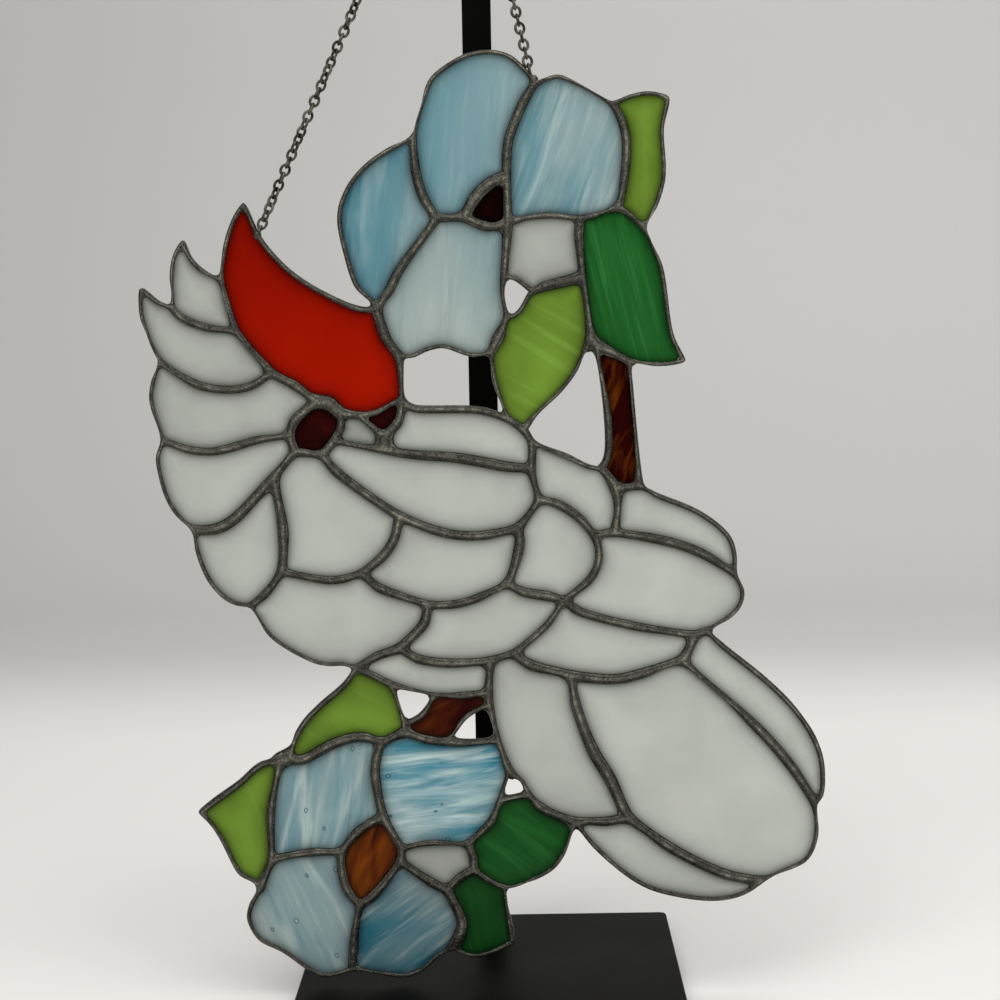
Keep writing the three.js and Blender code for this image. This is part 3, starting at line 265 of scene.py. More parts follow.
class ChainSettings(PropertyGroup):
    length: FloatProperty(
        name="Link length", description="Outer length of a link", default=5.2 * MM, unit="LENGTH")
    width: FloatProperty(
        name="Link width", description="Outer width of a link", default=4.3 * MM, unit="LENGTH")
    wire: FloatProperty(
        name="Wire", description="Thickness of the wire", default=1.08 * MM, unit="LENGTH")
    pitch: FloatProperty(
        name="Pitch", description="Distance from one link to the next", default=3.12 * MM,
        unit="LENGTH")
    twists: FloatProperty(
        name="Twists", description="Turns of the long run about itself", default=1.5)
    rounds: IntProperty(
        name="Rounds", description="Points along a link's wire", default=20, min=8)
    sides: IntProperty(name="Sides", description="Points round the wire", default=8, min=4)


class StandSettings(PropertyGroup):
    bevel: FloatProperty(
        name="Edge", description="Rounding of the steel's edges", default=0.7 * MM, unit="LENGTH")
    colour: colour_property("Black", "Colour of the satin paint", (0.0022, 0.0022, 0.0018))


class StageSettings(PropertyGroup):
    eye: FloatVectorProperty(
        name="Camera", description="Where the camera stands", default=(0.015, -0.775, 0.2656),
        size=3, subtype="TRANSLATION", unit="LENGTH")
    lens: FloatProperty(name="Lens", description="Focal length in millimetres", default=72)
    pitch: FloatProperty(
        name="Pitch", description="How far the camera looks down", default=math.radians(5.35),
        subtype="ANGLE")
    yaw: FloatProperty(
        name="Yaw", description="How far the camera turns to the left",
        default=math.radians(0.596), subtype="ANGLE")
    roll: FloatProperty(
        name="Roll", description="Tilt of the camera about its line of sight", default=-0.018,
        subtype="ANGLE")
    floor: colour_property("Floor", "Colour of the floor", (0.78, 0.765, 0.74))
    # The wall's duller colour is painted shade on the backdrop.
    wall: colour_property("Wall", "Colour of the wall behind", (0.54, 0.535, 0.52))


# ------------------------------------------------------------------ shader maths
class Field:
    """A socket of a material, on which arithmetic adds Math nodes."""

    def __init__(self, board, socket):
        self.board = board
        self.socket = socket

    def math(self, operation, *others):
        values = dict(enumerate((self,) + others))
        return self.board.add("ShaderNodeMath", {"operation": operation}, values)

    def __add__(self, other):
        return self.math("ADD", other)

    __radd__ = __add__

    def __mul__(self, other):
        return self.math("MULTIPLY", other)

    __rmul__ = __mul__

    def __sub__(self, other):
        return self.math("SUBTRACT", other)

    def __rsub__(self, other):
        return self.board.add("ShaderNodeMath", {"operation": "SUBTRACT"}, {0: other, 1: self})

    def clamp(self):
        settings = {"operation": "ADD", "use_clamp": True}
        return self.board.add("ShaderNodeMath", settings, {0: self, 1: 0.0})

    def ramp(self, low, high):
        """0 up to low, 1 from high on, and smooth between them."""
        settings = {"interpolation_type": "SMOOTHSTEP"}
        values = {"Value": self, "From Min": low, "From Max": high}
        return self.board.add("ShaderNodeMapRange", settings, values)


class Board:
    """A material with one Principled shader, and one method that adds any other node."""

    def __init__(self, name, **constants):
        self.material = bpy.data.materials.new(name)
        self.material.use_nodes = True
        self.tree = self.material.node_tree
        self.shader = self.tree.nodes["Principled BSDF"]
        for socket, value in constants.items():
            self.shader.inputs[socket.replace("_", " ")].default_value = value

    def add(self, kind, settings=None, values=None, output=0):
        node = self.tree.nodes.new(kind)
        for key, value in (settings or {}).items():
            setattr(node, key, value)
        for key, value in (values or {}).items():
            self.feed(node.inputs[key], value)
        return Field(self, node.outputs[output])

    def feed(self, socket, value):
        if isinstance(value, Field):
            self.tree.links.new(value.socket, socket)
        elif isinstance(value, (int, float)) or socket.type == "VECTOR":
            socket.default_value = value
        else:
            socket.default_value = (*value, 1.0)

    def attribute(self, name):
        return self.add("ShaderNodeAttribute", {"attribute_name": name}, output="Fac")

    def place(self):
        """Where a point is in the object's own frame, in metres."""
        return self.add("ShaderNodeTexCoord", output="Object")

    def vector(self, operation, a, b):
        return self.add("ShaderNodeVectorMath", {"operation": operation}, {0: a, 1: b})

    def noise(self, place, size, detail=3.0, roughness=0.5, distortion=0.0):
        """Noise with features of about that size."""
        values = {"Vector": place, "Scale": 1 / size, "Detail": detail,
                  "Roughness": roughness, "Distortion": distortion}
        return self.add("ShaderNodeTexNoise", values=values)

    def mix(self, share, a, b):
        """Colour a, or b where the share is 1."""
        return self.add("ShaderNodeMix", {"data_type": "RGBA"}, {0: share, 6: a, 7: b}, output=2)

    def bump(self, height, distance, strength=1.0):
        values = {"Height": height, "Distance": distance, "Strength": strength}
        return self.add("ShaderNodeBump", values=values)

    def finish(self, **links):
        for socket, value in links.items():
            self.feed(self.shader.inputs[socket.replace("_", " ")], value)
        return self.material


def scaled(colour, share):
    return [c * share for c in colour]


def drifted(board):
    """The place on a pane, moved by the pane's own drift so that no two panes look cut from
    one sheet side by side."""
    drift = board.attribute("drift")
    values = {0: drift * DRIFT_X, 1: 0.0, 2: drift * DRIFT_Z}
    return board.vector("ADD", board.place(), board.add("ShaderNodeCombineXYZ", values=values))


def along_grain(board, place, across, along):
    """The place turned by the pane's grain and scaled, so that noise on it makes streaks."""
    settings = {"rotation_type": "Y_AXIS"}
    turned = board.add(
        "ShaderNodeVectorRotate", settings, {"Vector": place, "Angle": board.attribute("grain")})
    return board.vector("MULTIPLY", turned, (1 / across, 1 / across, 1 / along))


def streaks(board, place, across, along, **noise_values):
    """Noise drawn out along the pane's grain."""
    return board.noise(along_grain(board, place, across, along), 1.0, **noise_values)


def shaded_rim(board, colour):
    """The colour, darker close to the solder, where less light comes through the glass."""
    light = board.attribute("tone") * (1 - board.attribute("rim") * RIM_SHADE)
    return board.vector("MULTIPLY", colour, light)


# ------------------------------------------------------------------ glass
def paint_glass(name, colour):
    """A glass with a gloss and faint ripples; colour(board, place) gives its colour."""
    board = Board(name, IOR=1.5, Specular_IOR_Level=0.04)
    place = drifted(board)
    ripple = board.noise(place, 9 * MM, detail=2)
    fine = board.noise(place, 1.4 * MM, detail=2)
    relief = board.bump(ripple + fine * 0.12, 0.35 * MM, 0.5)
    gloss = 0.14 + board.noise(place, 6 * MM) * 0.12
    shaded = shaded_rim(board, colour(board, place))
    return board.finish(Base_Color=shaded, Normal=relief, Roughness=gloss)


def white_glass(settings):
    def colour(board, place):
        milk = board.noise(place, 26 * MM, detail=2).ramp(0.3, 0.7)
        pale = board.mix(milk, scaled(settings.white, 0.93), scaled(settings.white, 1.05))
        drag = streaks(board, place, 7 * MM, 34 * MM, distortion=0.6).ramp(0.52, 0.78)
        return board.mix(drag * board.attribute("streak") * 0.3, pale, MILK_STREAK)
    return paint_glass("white_opal_glass", colour)


def wispy_glass(name, base, wisp):
    """Blue glass with white wisps dragged along its grain, and a few small bubbles where the
    streaks are strong, each a dark ring of painted shade round a painted highlight."""
    bright = scaled(wisp, 1.4)

    def wisps(board, place, strength):
        cloud = streaks(board, place, 12 * MM, 40 * MM, detail=2)
        pale = (board.attribute("pale") + (cloud - 0.5) * strength * 0.8).clamp()
        ground = board.mix(pale, base, wisp)
        broad = streaks(board, place, 7 * MM, 45 * MM, distortion=0.9).ramp(0.46, 0.78)
        ground = board.mix((broad * 0.5 * strength).clamp(), ground, bright)
        thin = along_grain(board, place, 2.2 * MM, 24 * MM)
        fine = board.noise(thin, 1.0, detail=4, distortion=0.6).ramp(0.48, 0.85)
        ground = board.mix((fine * 0.32 * strength).clamp(), ground, bright)
        dark = board.noise(thin, 1.3, distortion=0.6).ramp(0.52, 0.85)
        return board.mix((dark * 0.3 * strength).clamp(), ground, scaled(base, 0.5))

    def colour(board, place):
        strength = board.attribute("streak")
        ground = wisps(board, place, strength)
        values = {"Vector": along_grain(board, place, 9 * MM, 12 * MM), "Scale": 1.0}
        bubble = board.add("ShaderNodeTexVoronoi", values=values, output="Distance")
        lively = strength.ramp(1.2, 1.4)
        # Painted shade: a dark ring round each bubble. Then a painted highlight in its middle.
        ring = bubble.ramp(0.055, 0.075) - bubble.ramp(0.09, 0.115)
        ground = board.mix((ring * lively * 0.65).clamp(), ground, scaled(base, 0.3))
        return board.mix((1 - bubble.ramp(0.03, 0.06)) * lively * 0.45, ground, bright)
    return paint_glass(name, colour)


def lime_glass(settings):
    def colour(board, place):
        cloud = board.noise(place, 24 * MM, detail=2).ramp(0.3, 0.7)
        ground = board.mix(cloud, scaled(settings.lime, 0.82), scaled(settings.lime, 1.12))
        bands = streaks(board, place, 3.4 * MM, 60 * MM, detail=2).ramp(0.5, 0.75)
        return board.mix(bands * board.attribute("streak") * 0.35, ground, LIME_BAND)
    return paint_glass("lime_glass", colour)


def forest_glass(settings):
    def colour(board, place):
        broad = streaks(board, place, 6 * MM, 60 * MM, detail=4, distortion=0.4).ramp(0.42, 0.72)
        ground = board.mix(broad, scaled(settings.forest, 0.7), settings.forest)
        fine = streaks(board, place, 2 * MM, 40 * MM).ramp(0.5, 0.8)
        light = (fine * board.attribute("streak") * 0.45).clamp()
        return board.mix(light, ground, FOREST_LIGHT)
    return paint_glass("forest_glass", colour)


def amber_glass(settings):
    def colour(board, place):
        flow = streaks(board, place, 5 * MM, 22 * MM, distortion=0.8)
        swing = (flow - 0.5) * board.attribute("streak") * 3.2
        glow = (board.attribute("pale") + swing).clamp()
        return board.mix(glow, AMBER_DARK, settings.amber)
    return paint_glass("amber_glass", colour)


def garnet_glass(settings):
    def colour(board, place):
        glow = board.noise(place, 8 * MM, detail=2).ramp(0.4, 0.8)
        return board.mix(glow, settings.garnet, scaled(settings.garnet, 2.2))
    return paint_glass("garnet_glass", colour)


def flame_glass(settings):
    """Red glass that is brighter towards the foot of the crest."""
    low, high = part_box("crest")

    def colour(board, place):
        height = board.add("ShaderNodeSeparateXYZ", values={0: board.place()}, output=2)
        climb = height.ramp(low[2], high[2])
        ground = board.mix(climb, scaled(settings.flame, 1.1), scaled(settings.flame, 0.75))
        cloud = board.noise(place, 20 * MM, detail=2).ramp(0.35, 0.75)
        return board.mix(cloud * (1 - climb) * 0.35, ground, FLAME_GLOW)
    return paint_glass("flame_glass", colour)


def glass_materials(settings):
    return {
        "white": white_glass(settings),
        "sky": wispy_glass("sky_wispy_glass", settings.sky, settings.wisp),
        "sea": wispy_glass("sea_wispy_glass", settings.sea, settings.wisp),
        "lime": lime_glass(settings),
        "forest": forest_glass(settings),
        "amber": amber_glass(settings),
        "garnet": garnet_glass(settings),
        "flame": flame_glass(settings),
    }


# ------------------------------------------------------------------ solder and steel
def solder_material(settings):
    """Solder under a dark patina, lighter along the crests, part rubbed patina and part painted
    highlight, with a pale line near the foot, part foil edge and part painted highlight, and
    painted shade, near black, at the foot.
    """
    board = Board("dark_patina_solder", Metallic=0.75, Specular_IOR_Level=0.5)
    place = board.place()
    crest = board.attribute("crest")
    worn = board.noise(place, 4 * MM, detail=4, roughness=0.65).ramp(0.40, 0.70)
    patches = board.noise(place, 14 * MM, detail=2).ramp(0.35, 0.8)
    speckle = board.noise(place, 0.8 * MM, roughness=0.7).ramp(0.35, 0.75)
    dark = board.mix(patches, scaled(settings.colour, 0.45), scaled(settings.colour, 1.5))
    dark = board.mix(speckle * 0.6, dark, scaled(settings.colour, 2.6))
    # The crests are lighter: part rubbed patina, part a painted highlight along each bead's crest.
    crest_highlight_and_wear = crest.ramp(0.5, 1.0) * (0.25 + worn * 0.75) * (0.45 + patches * 0.75)
    crest_highlight_and_wear = (crest_highlight_and_wear * (0.6 + speckle * 0.7)).clamp()
    colour = board.mix(crest_highlight_and_wear, dark, scaled(settings.crest, 1.2))
    # A pale line near each bead's foot: part foil edge, part painted highlight.
    foil_edge_and_highlight = (crest.ramp(0.08, 0.2) - crest.ramp(0.28, 0.42)) * worn * 0.4
    colour = board.mix(foil_edge_and_highlight.clamp(), colour, settings.crest)
    # Painted shade: the foot of each bead, where it meets the glass, is darkened to near black.
    foot = 1 - crest.ramp(0.0, 0.22)
    colour = board.mix(foot * 0.85, colour, FOOT_SHADE)
    relief = board.bump(speckle * 0.2 + board.noise(place, 3 * MM), 0.5 * MM)
    gloss = 0.2 + worn * 0.1 + speckle * 0.14
    return board.finish(Base_Color=colour, Roughness=gloss, Normal=relief)


def chain_material():
    board = Board("tarnished_chain", Metallic=0.85)
    place = board.place()
    stain = board.noise(place, 3 * MM, detail=4).ramp(0.35, 0.7)
    colour = board.mix(stain, CHAIN_DARK, CHAIN_WORN)
    scratches = board.bump(board.noise(place, 0.5 * MM, detail=2), 0.05 * MM, 0.5)
    return board.finish(Base_Color=colour, Roughness=0.3 + stain * 0.2, Normal=scratches)


def black_steel_material(settings):
    board = Board("satin_black_steel", IOR=1.45, Specular_IOR_Level=0.025)
    place = board.place()
    cast = board.noise(place, 60 * MM, detail=3).ramp(0.3, 0.7)
    colour = board.mix(cast, scaled(settings.colour, 0.8), scaled(settings.colour, 1.3))
    dust = board.noise(place, 1.2 * MM, detail=4, roughness=0.7).ramp(0.66, 0.8)
    colour = board.mix(dust * 0.04, colour, DUST)
    grit = board.bump(board.noise(place, 0.6 * MM, detail=2), 0.05 * MM, 0.4)
    gloss = 0.34 + cast * 0.08 + dust * 0.1
    return board.finish(Base_Color=colour, Roughness=gloss, Normal=grit)


# ------------------------------------------------------------------ smooth lines
def bent(a, b, c):
    """The turn at b, in radians."""
    before = b - a
    after = c - b
    if before.length < NO_LENGTH or after.length < NO_LENGTH:
        return math.pi
    return before.angle(after)


def catmull(p0, p1, p2, p3, share):
    """A point between p1 and p2 on the centripetal curve through all four."""
    t0 = 0.0
    t1 = math.sqrt((p1 - p0).length)
    t2 = t1 + math.sqrt((p2 - p1).length)
    t3 = t2 + math.sqrt((p3 - p2).length)
    t = t1 + (t2 - t1) * share

    def blend(a, b, start, end):
        return a * ((end - t) / (end - start)) + b * ((t - start) / (end - start))

    a1 = blend(p0, p1, t0, t1)
    a2 = blend(p1, p2, t1, t2)
    a3 = blend(p2, p3, t2, t3)
    return blend(blend(a1, a2, t0, t2), blend(a2, a3, t1, t3), t1, t2)


def smooth_stretch(before, start, end, after, step):
    """Points from start up to, and without, end; before and after are None at a corner."""
    p0 = before if before is not None else start * 2 - end
    p3 = after if after is not None else end * 2 - start
    count = max(1, round((end - start).length / step))
    return [catmull(p0, start, end, p3, i / count) for i in range(count)]


def smooth_loop(points, step, corner):
    """A closed line through the points, smooth but for turns sharper than corner."""
    count = len(points)

    def at(i):
        return points[i % count]

    sharp = [bent(at(i - 1), at(i), at(i + 1)) > corner for i in range(count)]
    line = []
    for i in range(count):
        before = None if sharp[i] else at(i - 1)
        after = None if sharp[(i + 1) % count] else at(i + 2)
        line += smooth_stretch(before, at(i), at(i + 1), after, step)
    return line


def zip_loops(ridge, window):
    """Rungs (i, j) between two closed lines that run side by side, once round, each the shorter
    of the two that could follow the last."""
    n = len(ridge)
    m = len(window)
    flat = [Vector((p.x, p.y)) for p in ridge]
    first = min(range(m), key=lambda j: (window[j] - flat[0]).length)
    rungs = [(0, first)]
    i = 0
    j = 0
    while i < n or j < m:
        here = flat[i % n]
        there = window[(first + j) % m]
        ahead = (flat[(i + 1) % n] - there).length if i < n else math.inf
        beside = (here - window[(first + j + 1) % m]).length if j < m else math.inf
        if ahead <= beside:
            i += 1
        else:
            j += 1
        rungs.append((i % n, (first + j) % m))
    return rungs


def loop_area(points):
    """The area inside a closed line, below 0 if the line goes clockwise."""
    return sum(points[i - 1].cross(p) for i, p in enumerate(points)) / 2


def nearest(p, points):
    """How far the nearest of the points is from p."""
    return min((p - q).length for q in points)


def span(points):
    """The least x and y of the points, and how far they reach from there."""
    xs = [p.x for p in points]
    ys = [p.y for p in points]
    return Vector((min(xs), min(ys))), Vector((max(xs) - min(xs), max(ys) - min(ys)))


def close_up(mesh, weld=0.0):
    """Merges points that are closer than weld, and turns the faces outward."""
    bm = bmesh.new()
    bm.from_mesh(mesh)
    if weld:
        bmesh.ops.remove_doubles(bm, verts=bm.verts, dist=weld)
    bmesh.ops.recalc_face_normals(bm, faces=bm.faces)
    bm.to_mesh(mesh)
    bm.free()


# ------------------------------------------------------------------ the solder lattice
class Lattice:
    """The network of the CAD solids' ridges and windows, read from its front, as smooth lines.
    A ridge point is (x, z, rise over the glass), a window point is (x, z)."""

    def __init__(self, step):
        self.step = step
        bm = bmesh.new()
        bm.from_mesh(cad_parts["solder_lattice"].data)
        bmesh.ops.remove_doubles(bm, verts=bm.verts, dist=SAME_POINT)
        bm.faces.index_update()
        glass = MIDDLE - HALF_GLASS
        self.ridge = {v: Vector((v.co.x, v.co.z, glass - v.co.y)) for v in bm.verts
                      if v.co.y < glass - RIDGE_RISE}
        front = {f for f in bm.faces if all(v.co.y < glass + FRONT_REACH for v in f.verts)}
        self.lines = {v: [e.other_vert(v) for e in v.link_edges if e.other_vert(v) in self.ridge]
                      for v in self.ridge}
        self.stretches = {}
        self.cells = []
        while front:
            self.cells.append(self.cell(front))
        bm.free()

    def is_rung(self, edge):
        return (edge.verts[0] in self.ridge) != (edge.verts[1] in self.ridge)

    def cell(self, front):
        """Goes once round one window, from rung to rung, and takes its faces out of front."""
        face = min(front, key=lambda f: f.index)
        rung = next(e for e in face.edges if self.is_rung(e))
        ridge = []
        window = []
        while face in front:
            front.discard(face)
            rung = next(e for e in face.edges if self.is_rung(e) and e is not rung)
            top, foot = rung.verts if rung.verts[0] in self.ridge else reversed(rung.verts)
            if not ridge or ridge[-1] is not top:
                ridge.append(top)
            if not window or window[-1] is not foot:
                window.append(foot)
            face = next((f for f in rung.link_faces if f in front), None)
        for loop in (ridge, window):
            if len(loop) > 1 and loop[0] is loop[-1]:
                loop.pop()
        coarse = [Vector((v.co.x, v.co.z)) for v in window]
        if loop_area(coarse) < 0:
            ridge.reverse()
            coarse.reverse()
        ridge_line = []
        for i, v in enumerate(ridge):
            ridge_line += self.stretch(v, ridge[(i + 1) % len(ridge)])
        outer = max(p.x for p in coarse) - min(p.x for p in coarse) > OUTLINE_WIDTH
        window_line = smooth_loop(coarse, self.step, OUTER_CORNER if outer else CORNER)
        return {"ridge": ridge_line, "window": window_line, "name": None}

    def onward(self, v, came_from):
        """The ridge that carries on smoothly through v from came_from, if there is one."""
        def best(a):
            others = [b for b in self.lines[v] if b is not a]
            turns = [bent(self.ridge[a], self.ridge[v], self.ridge[b]) for b in others]
            return others[turns.index(min(turns))] if turns and min(turns) < CORNER else None
        ahead = best(came_from)
        return ahead if ahead is not None and best(ahead) is came_from else None

    def stretch(self, a, b):
        """The smooth ridge points from a up to, and without, b, each one shared by two cells."""
        if (a, b) not in self.stretches:
            before = self.onward(a, b)
            after = self.onward(b, a)
            points = smooth_stretch(
                self.ridge[before] if before else None, self.ridge[a], self.ridge[b],
                self.ridge[after] if after else None, self.step)
            for p in points:
                p.freeze()
            self.stretches[(a, b)] = points
            end = self.ridge[b].copy().freeze()
            self.stretches[(b, a)] = [end] + points[:0:-1]
        return self.stretches[(a, b)]

    def name_windows(self):
        """Gives each window the name of the pane that fills it; the openings keep none."""
        for name in PANES:
            low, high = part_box(name)

            def misfit(cell):
                start, size = span(cell["window"])
                end = start + size
                return (abs(start.x - low[0]) + abs(end.x - high[0])
                        + abs(start.y - low[2]) + abs(end.y - high[2]))
            min(self.cells, key=misfit)["name"] = name


def lattice():
    """The lattice as the solder and glass pieces share it."""
    if not hasattr(lattice, "made"):
        lattice.made = Lattice(bpy.context.scene.suncatcher_solder.step)
        lattice.made.name_windows()
    return lattice.made


def bead_height(share, rise):
    """How far a bead's flat half round stands from the middle of the glass, a share of the way
    from its crest to its foot."""
    return HALF_GLASS - SINK + (rise + SINK) * math.sqrt(1 - share ** 2)


def edge_height(share, rise):
    """The same on the panel's rim and round an opening, where the solder rounds the edge."""
    return (HALF_GLASS + rise) * (1 - share ** EDGE_POWER) ** (1 / EDGE_POWER)


class Beads:
    """The skin of all the solder: its points, how near the crest each one is, and its faces."""

    def __init__(self, lumps):
        self.lumps = lumps
        self.points = []
        self.crest = []
        self.faces = []
        self.tops = {}

    def put(self, plan, height, crest):
        across = min(max(plan.x, CAD_BOX[0][0]), CAD_BOX[1][0])
        self.points.append((across, MIDDLE + height, plan.y))
        self.crest.append(crest)
        return len(self.points) - 1

    def lumpy(self, plan, side):
        """How much higher or lower than smooth the solder is there, as a factor."""
        spot = Vector((plan.x, side * MM, plan.y)) / LUMP_SIZE
        return 1 + self.lumps * noise.noise(spot) + self.lumps * 0.5 * noise.noise(spot * FINER)

    def top(self, p, side):
        """The point on a crest, which the beads on both sides of it share."""
        key = (p.x, p.y, side)
        if key not in self.tops:
            height = HALF_GLASS + p.z * self.lumpy(p, side) * CREST_LIFT
            self.tops[key] = self.put(p, side * height, 1.0)
        return self.tops[key]

    def bead(self, cell):
        """Lays the solder from the ridge round one window down to the glass, on both sides of
        the panel, or round the open edge."""
        edge = cell["name"] is None
        rows, height = (EDGE_ROWS, edge_height) if edge else (BEAD_ROWS, bead_height)
        ridge = cell["ridge"]
        window = cell["window"]
        rungs = zip_loops(ridge, window)
        feet = {}
        for side in (-1, 1):
            previous = None
            for i, j in rungs:
                crest = Vector((ridge[i].x, ridge[i].y))
                if edge and (j, -side) in feet:
                    feet[(j, side)] = feet[(j, -side)]
                elif (j, side) not in feet:
                    feet[(j, side)] = self.put(window[j], side * height(1, 0), 0.0)
                line = [self.top(ridge[i], side)]
                for share in rows:
                    spot = crest.lerp(window[j], share)
                    rise = ridge[i].z * self.lumpy(spot, side)
                    line.append(self.put(spot, side * height(share, rise), 1 - share))
                line.append(feet[(j, side)])
                if previous:
                    for k in range(len(line) - 1):
                        corners = (previous[k], line[k], line[k + 1], previous[k + 1])
                        self.faces.append(tuple(dict.fromkeys(corners)))
                previous = line
        if not edge:
            for j in range(len(window)):
                k = (j + 1) % len(window)
                self.faces.append((feet[(j, -1)], feet[(k, -1)], feet[(k, 1)], feet[(j, 1)]))

    def blob(self, end):
        """A rounded drop of solder over a chain's end."""
        across, deep, tall = BLOB
        columns = 2 * BLOB_ROWS
        first = len(self.points)
        for row in range(BLOB_ROWS + 1):
            lift = math.pi * row / BLOB_ROWS
            for column in range(columns):
                turn = math.pi * column / BLOB_ROWS
                plan = Vector((end.x + across * math.sin(lift) * math.cos(turn),
                               end.y + tall * math.cos(lift)))
                self.put(plan, deep * math.sin(lift) * math.sin(turn), BLOB_WEAR_AND_HIGHLIGHT)
        for row in range(BLOB_ROWS):
            for column in range(columns):
                a = first + row * columns + column
                b = first + row * columns + (column + 1) % columns
                self.faces.append((a, b, b + columns, a + columns))

    def mesh(self):
        mesh = bpy.data.meshes.new("solder")
        mesh.from_pydata(self.points, [], [f for f in self.faces if len(f) > 2])
        layer = mesh.attributes.new("crest", "FLOAT", "POINT")
        layer.data.foreach_set("value", self.crest)
        close_up(mesh, WELD)
        return mesh


def solder_mesh(settings):
    beads = Beads(settings.lumps)
    for cell in lattice().cells:
        beads.bead(cell)
    for end in CHAIN_FEET:
        beads.blob(end)
    return beads.mesh()


# ------------------------------------------------------------------ panes
def pane_outline(cell, tuck):
    """The window's line moved out under the solder by the tuck."""
    ridge = cell["ridge"]
    window = cell["window"]
    across = {}
    for i, j in zip_loops(ridge, window):
        across.setdefault(j, Vector((ridge[i].x, ridge[i].y)) - window[j])
    return [p + across[j].normalized() * tuck for j, p in enumerate(window)]


def row_inside(window, depth):
    """The window's line moved in over the glass by the depth."""
    inward = math.copysign(depth, loop_area(window))
    line = []
    for j, p in enumerate(window):
        along = (window[(j + 1) % len(window)] - window[j - 1]).normalized()
        line.append(p + Vector((-along.y, along.x)) * inward)
    return line


def points_across(window, outline, spacing):
    """Points for the inside of a pane: rows along the solder, and an even grid in the middle."""
    inner = []
    for depth in RIM_ROWS:
        inner += [p for p in row_inside(window, depth) if nearest(p, window) > depth * ROW_GAP]
    low, size = span(outline)
    clear = RIM_ROWS[-1] + spacing / 2
    for row in range(int(size.y / spacing) + 1):
        for column in range(int(size.x / spacing) + 2):
            p = low + Vector((column + 0.5 * (row % 2), row + 0.5)) * spacing
            if nearest(p, outline) > clear:
                inner.append(p)
    return inner


def paleness(name, points, low, size):
    """How pale the pane's glass is at each point, blended from its four corners."""
    low_left, low_right, high_left, high_right = PALE.get(name, (0, 0, 0, 0))
    pale = []
    for p in points:
        u = (p.x - low.x) / size.x
        v = (p.y - low.y) / size.y
        foot = low_left * (1 - u) + low_right * u
        head = high_left * (1 - u) + high_right * u
        pale.append(foot * (1 - v) + head * v)
    return pale


def pane_mesh(name, cell, settings, number):
    """A flat pane, with points across it that know how far the solder is."""
    outline = pane_outline(cell, settings.tuck)
    count = len(outline)
    inner = points_across(cell["window"], outline, settings.mesh)
    spots, _, triangles, *_ = geometry.delaunay_2d_cdt(
        outline + inner, [], [list(range(count))], INSIDE_ONLY, SAME_SPOT)
    used = sorted({i for triangle in triangles for i in triangle})
    order = {i: k for k, i in enumerate(used)}
    flat = [spots[i] for i in used]
    back = len(flat)
    points = [(p.x, MIDDLE + side * HALF_GLASS, p.y) for side in (-1, 1) for p in flat]
    faces = [tuple(order[i] for i in triangle) for triangle in triangles]
    faces += [tuple(back + i for i in reversed(face)) for face in faces]
    for i in range(count):
        j = (i + 1) % count
        faces.append((j, i, back + i, back + j))
    mesh = bpy.data.meshes.new(name)
    mesh.from_pydata(points, [], faces)
    gaps = [max(0.0, nearest(p, outline) - settings.tuck) for p in flat]
    _, lean, strength, tone = PANES[name]
    layers = {
        "rim": [math.exp(-gap / RIM_REACH) for gap in gaps] * 2,
        "pale": paleness(name, flat, *span(outline)) * 2,
        "drift": [number * DRIFT] * len(points),
        "grain": [math.radians(lean)] * len(points),
        "streak": [strength] * len(points),
        "tone": [tone] * len(points),
    }
    for key, values in layers.items():
        mesh.attributes.new(key, "FLOAT", "POINT").data.foreach_set("value", values)
    close_up(mesh)
    return mesh


# ------------------------------------------------------------------ chain
def chain_route():
    """The chain's line, up from its left end, over the hook's seat, and down to its right end."""
    left, right = (HOOK_SEAT + Vector((side * HOOK_WIDTH / 2, 0)) for side in (-1, 1))
    quarter = math.pi / 2

    def meets(end, corner, side):
        """The angle round a corner of the hook at which a straight run from end touches it."""
        run = corner - end
        heading = math.atan2(run.y, run.x)
        return heading + side * (math.asin(CHAIN_STANDOFF / run.length) + quarter)

    def arc(corner, start, stop):
        angles = [start + (stop - start) * i / ARC_STEPS for i in range(ARC_STEPS + 1)]
        return [corner + Vector((math.cos(a), math.sin(a))) * CHAIN_STANDOFF for a in angles]

    return ([CHAIN_LEFT_END] + arc(left, meets(CHAIN_LEFT_END, left, 1), quarter)
            + arc(right, quarter, meets(CHAIN_RIGHT_END, right, -1)) + [CHAIN_RIGHT_END])


def along(route, distance):
    """The point that far along the route, and the route's direction there."""
    for a, b in zip(route, route[1:]):
        step = b - a
        if distance <= step.length or b is route[-1]:
            return a + step.normalized() * distance, step.normalized()
        distance -= step.length


def link_points(settings, place, direction, turn):
    """The points of one link, ring after ring round its wire."""
    line = Vector((direction.x, 0, direction.y))
    front = Vector((0, 1, 0))
    basis = Matrix((line, line.cross(front), front)).transposed()
    pose = basis @ Matrix.Rotation(turn, 3, "X")
    middle = Vector((place.x, MIDDLE, place.y))
    long = (settings.length - settings.wire) / 2
    wide = (settings.width - settings.wire) / 2
    points = []
    for i in range(settings.rounds):
        t = 2 * math.pi * i / settings.rounds
        centre = Vector((long * math.cos(t), wide * math.sin(t), 0))
        out = Vector((math.cos(t) / long, math.sin(t) / wide, 0)).normalized()
        for k in range(settings.sides):
            a = 2 * math.pi * k / settings.sides
            offset = (out * math.cos(a) + Vector((0, 0, math.sin(a)))) * (settings.wire / 2)
            points.append(middle + pose @ (centre + offset))
    return points


def link_faces(settings, first):
    """The faces of a link whose points start at first."""
    rounds, sides = settings.rounds, settings.sides
    faces = []
    for i in range(rounds):
        here = first + i * sides
        ahead = first + (i + 1) % rounds * sides
        for k in range(sides):
            beside = (k + 1) % sides
            faces.append((here + k, ahead + k, ahead + beside, here + beside))
    return faces


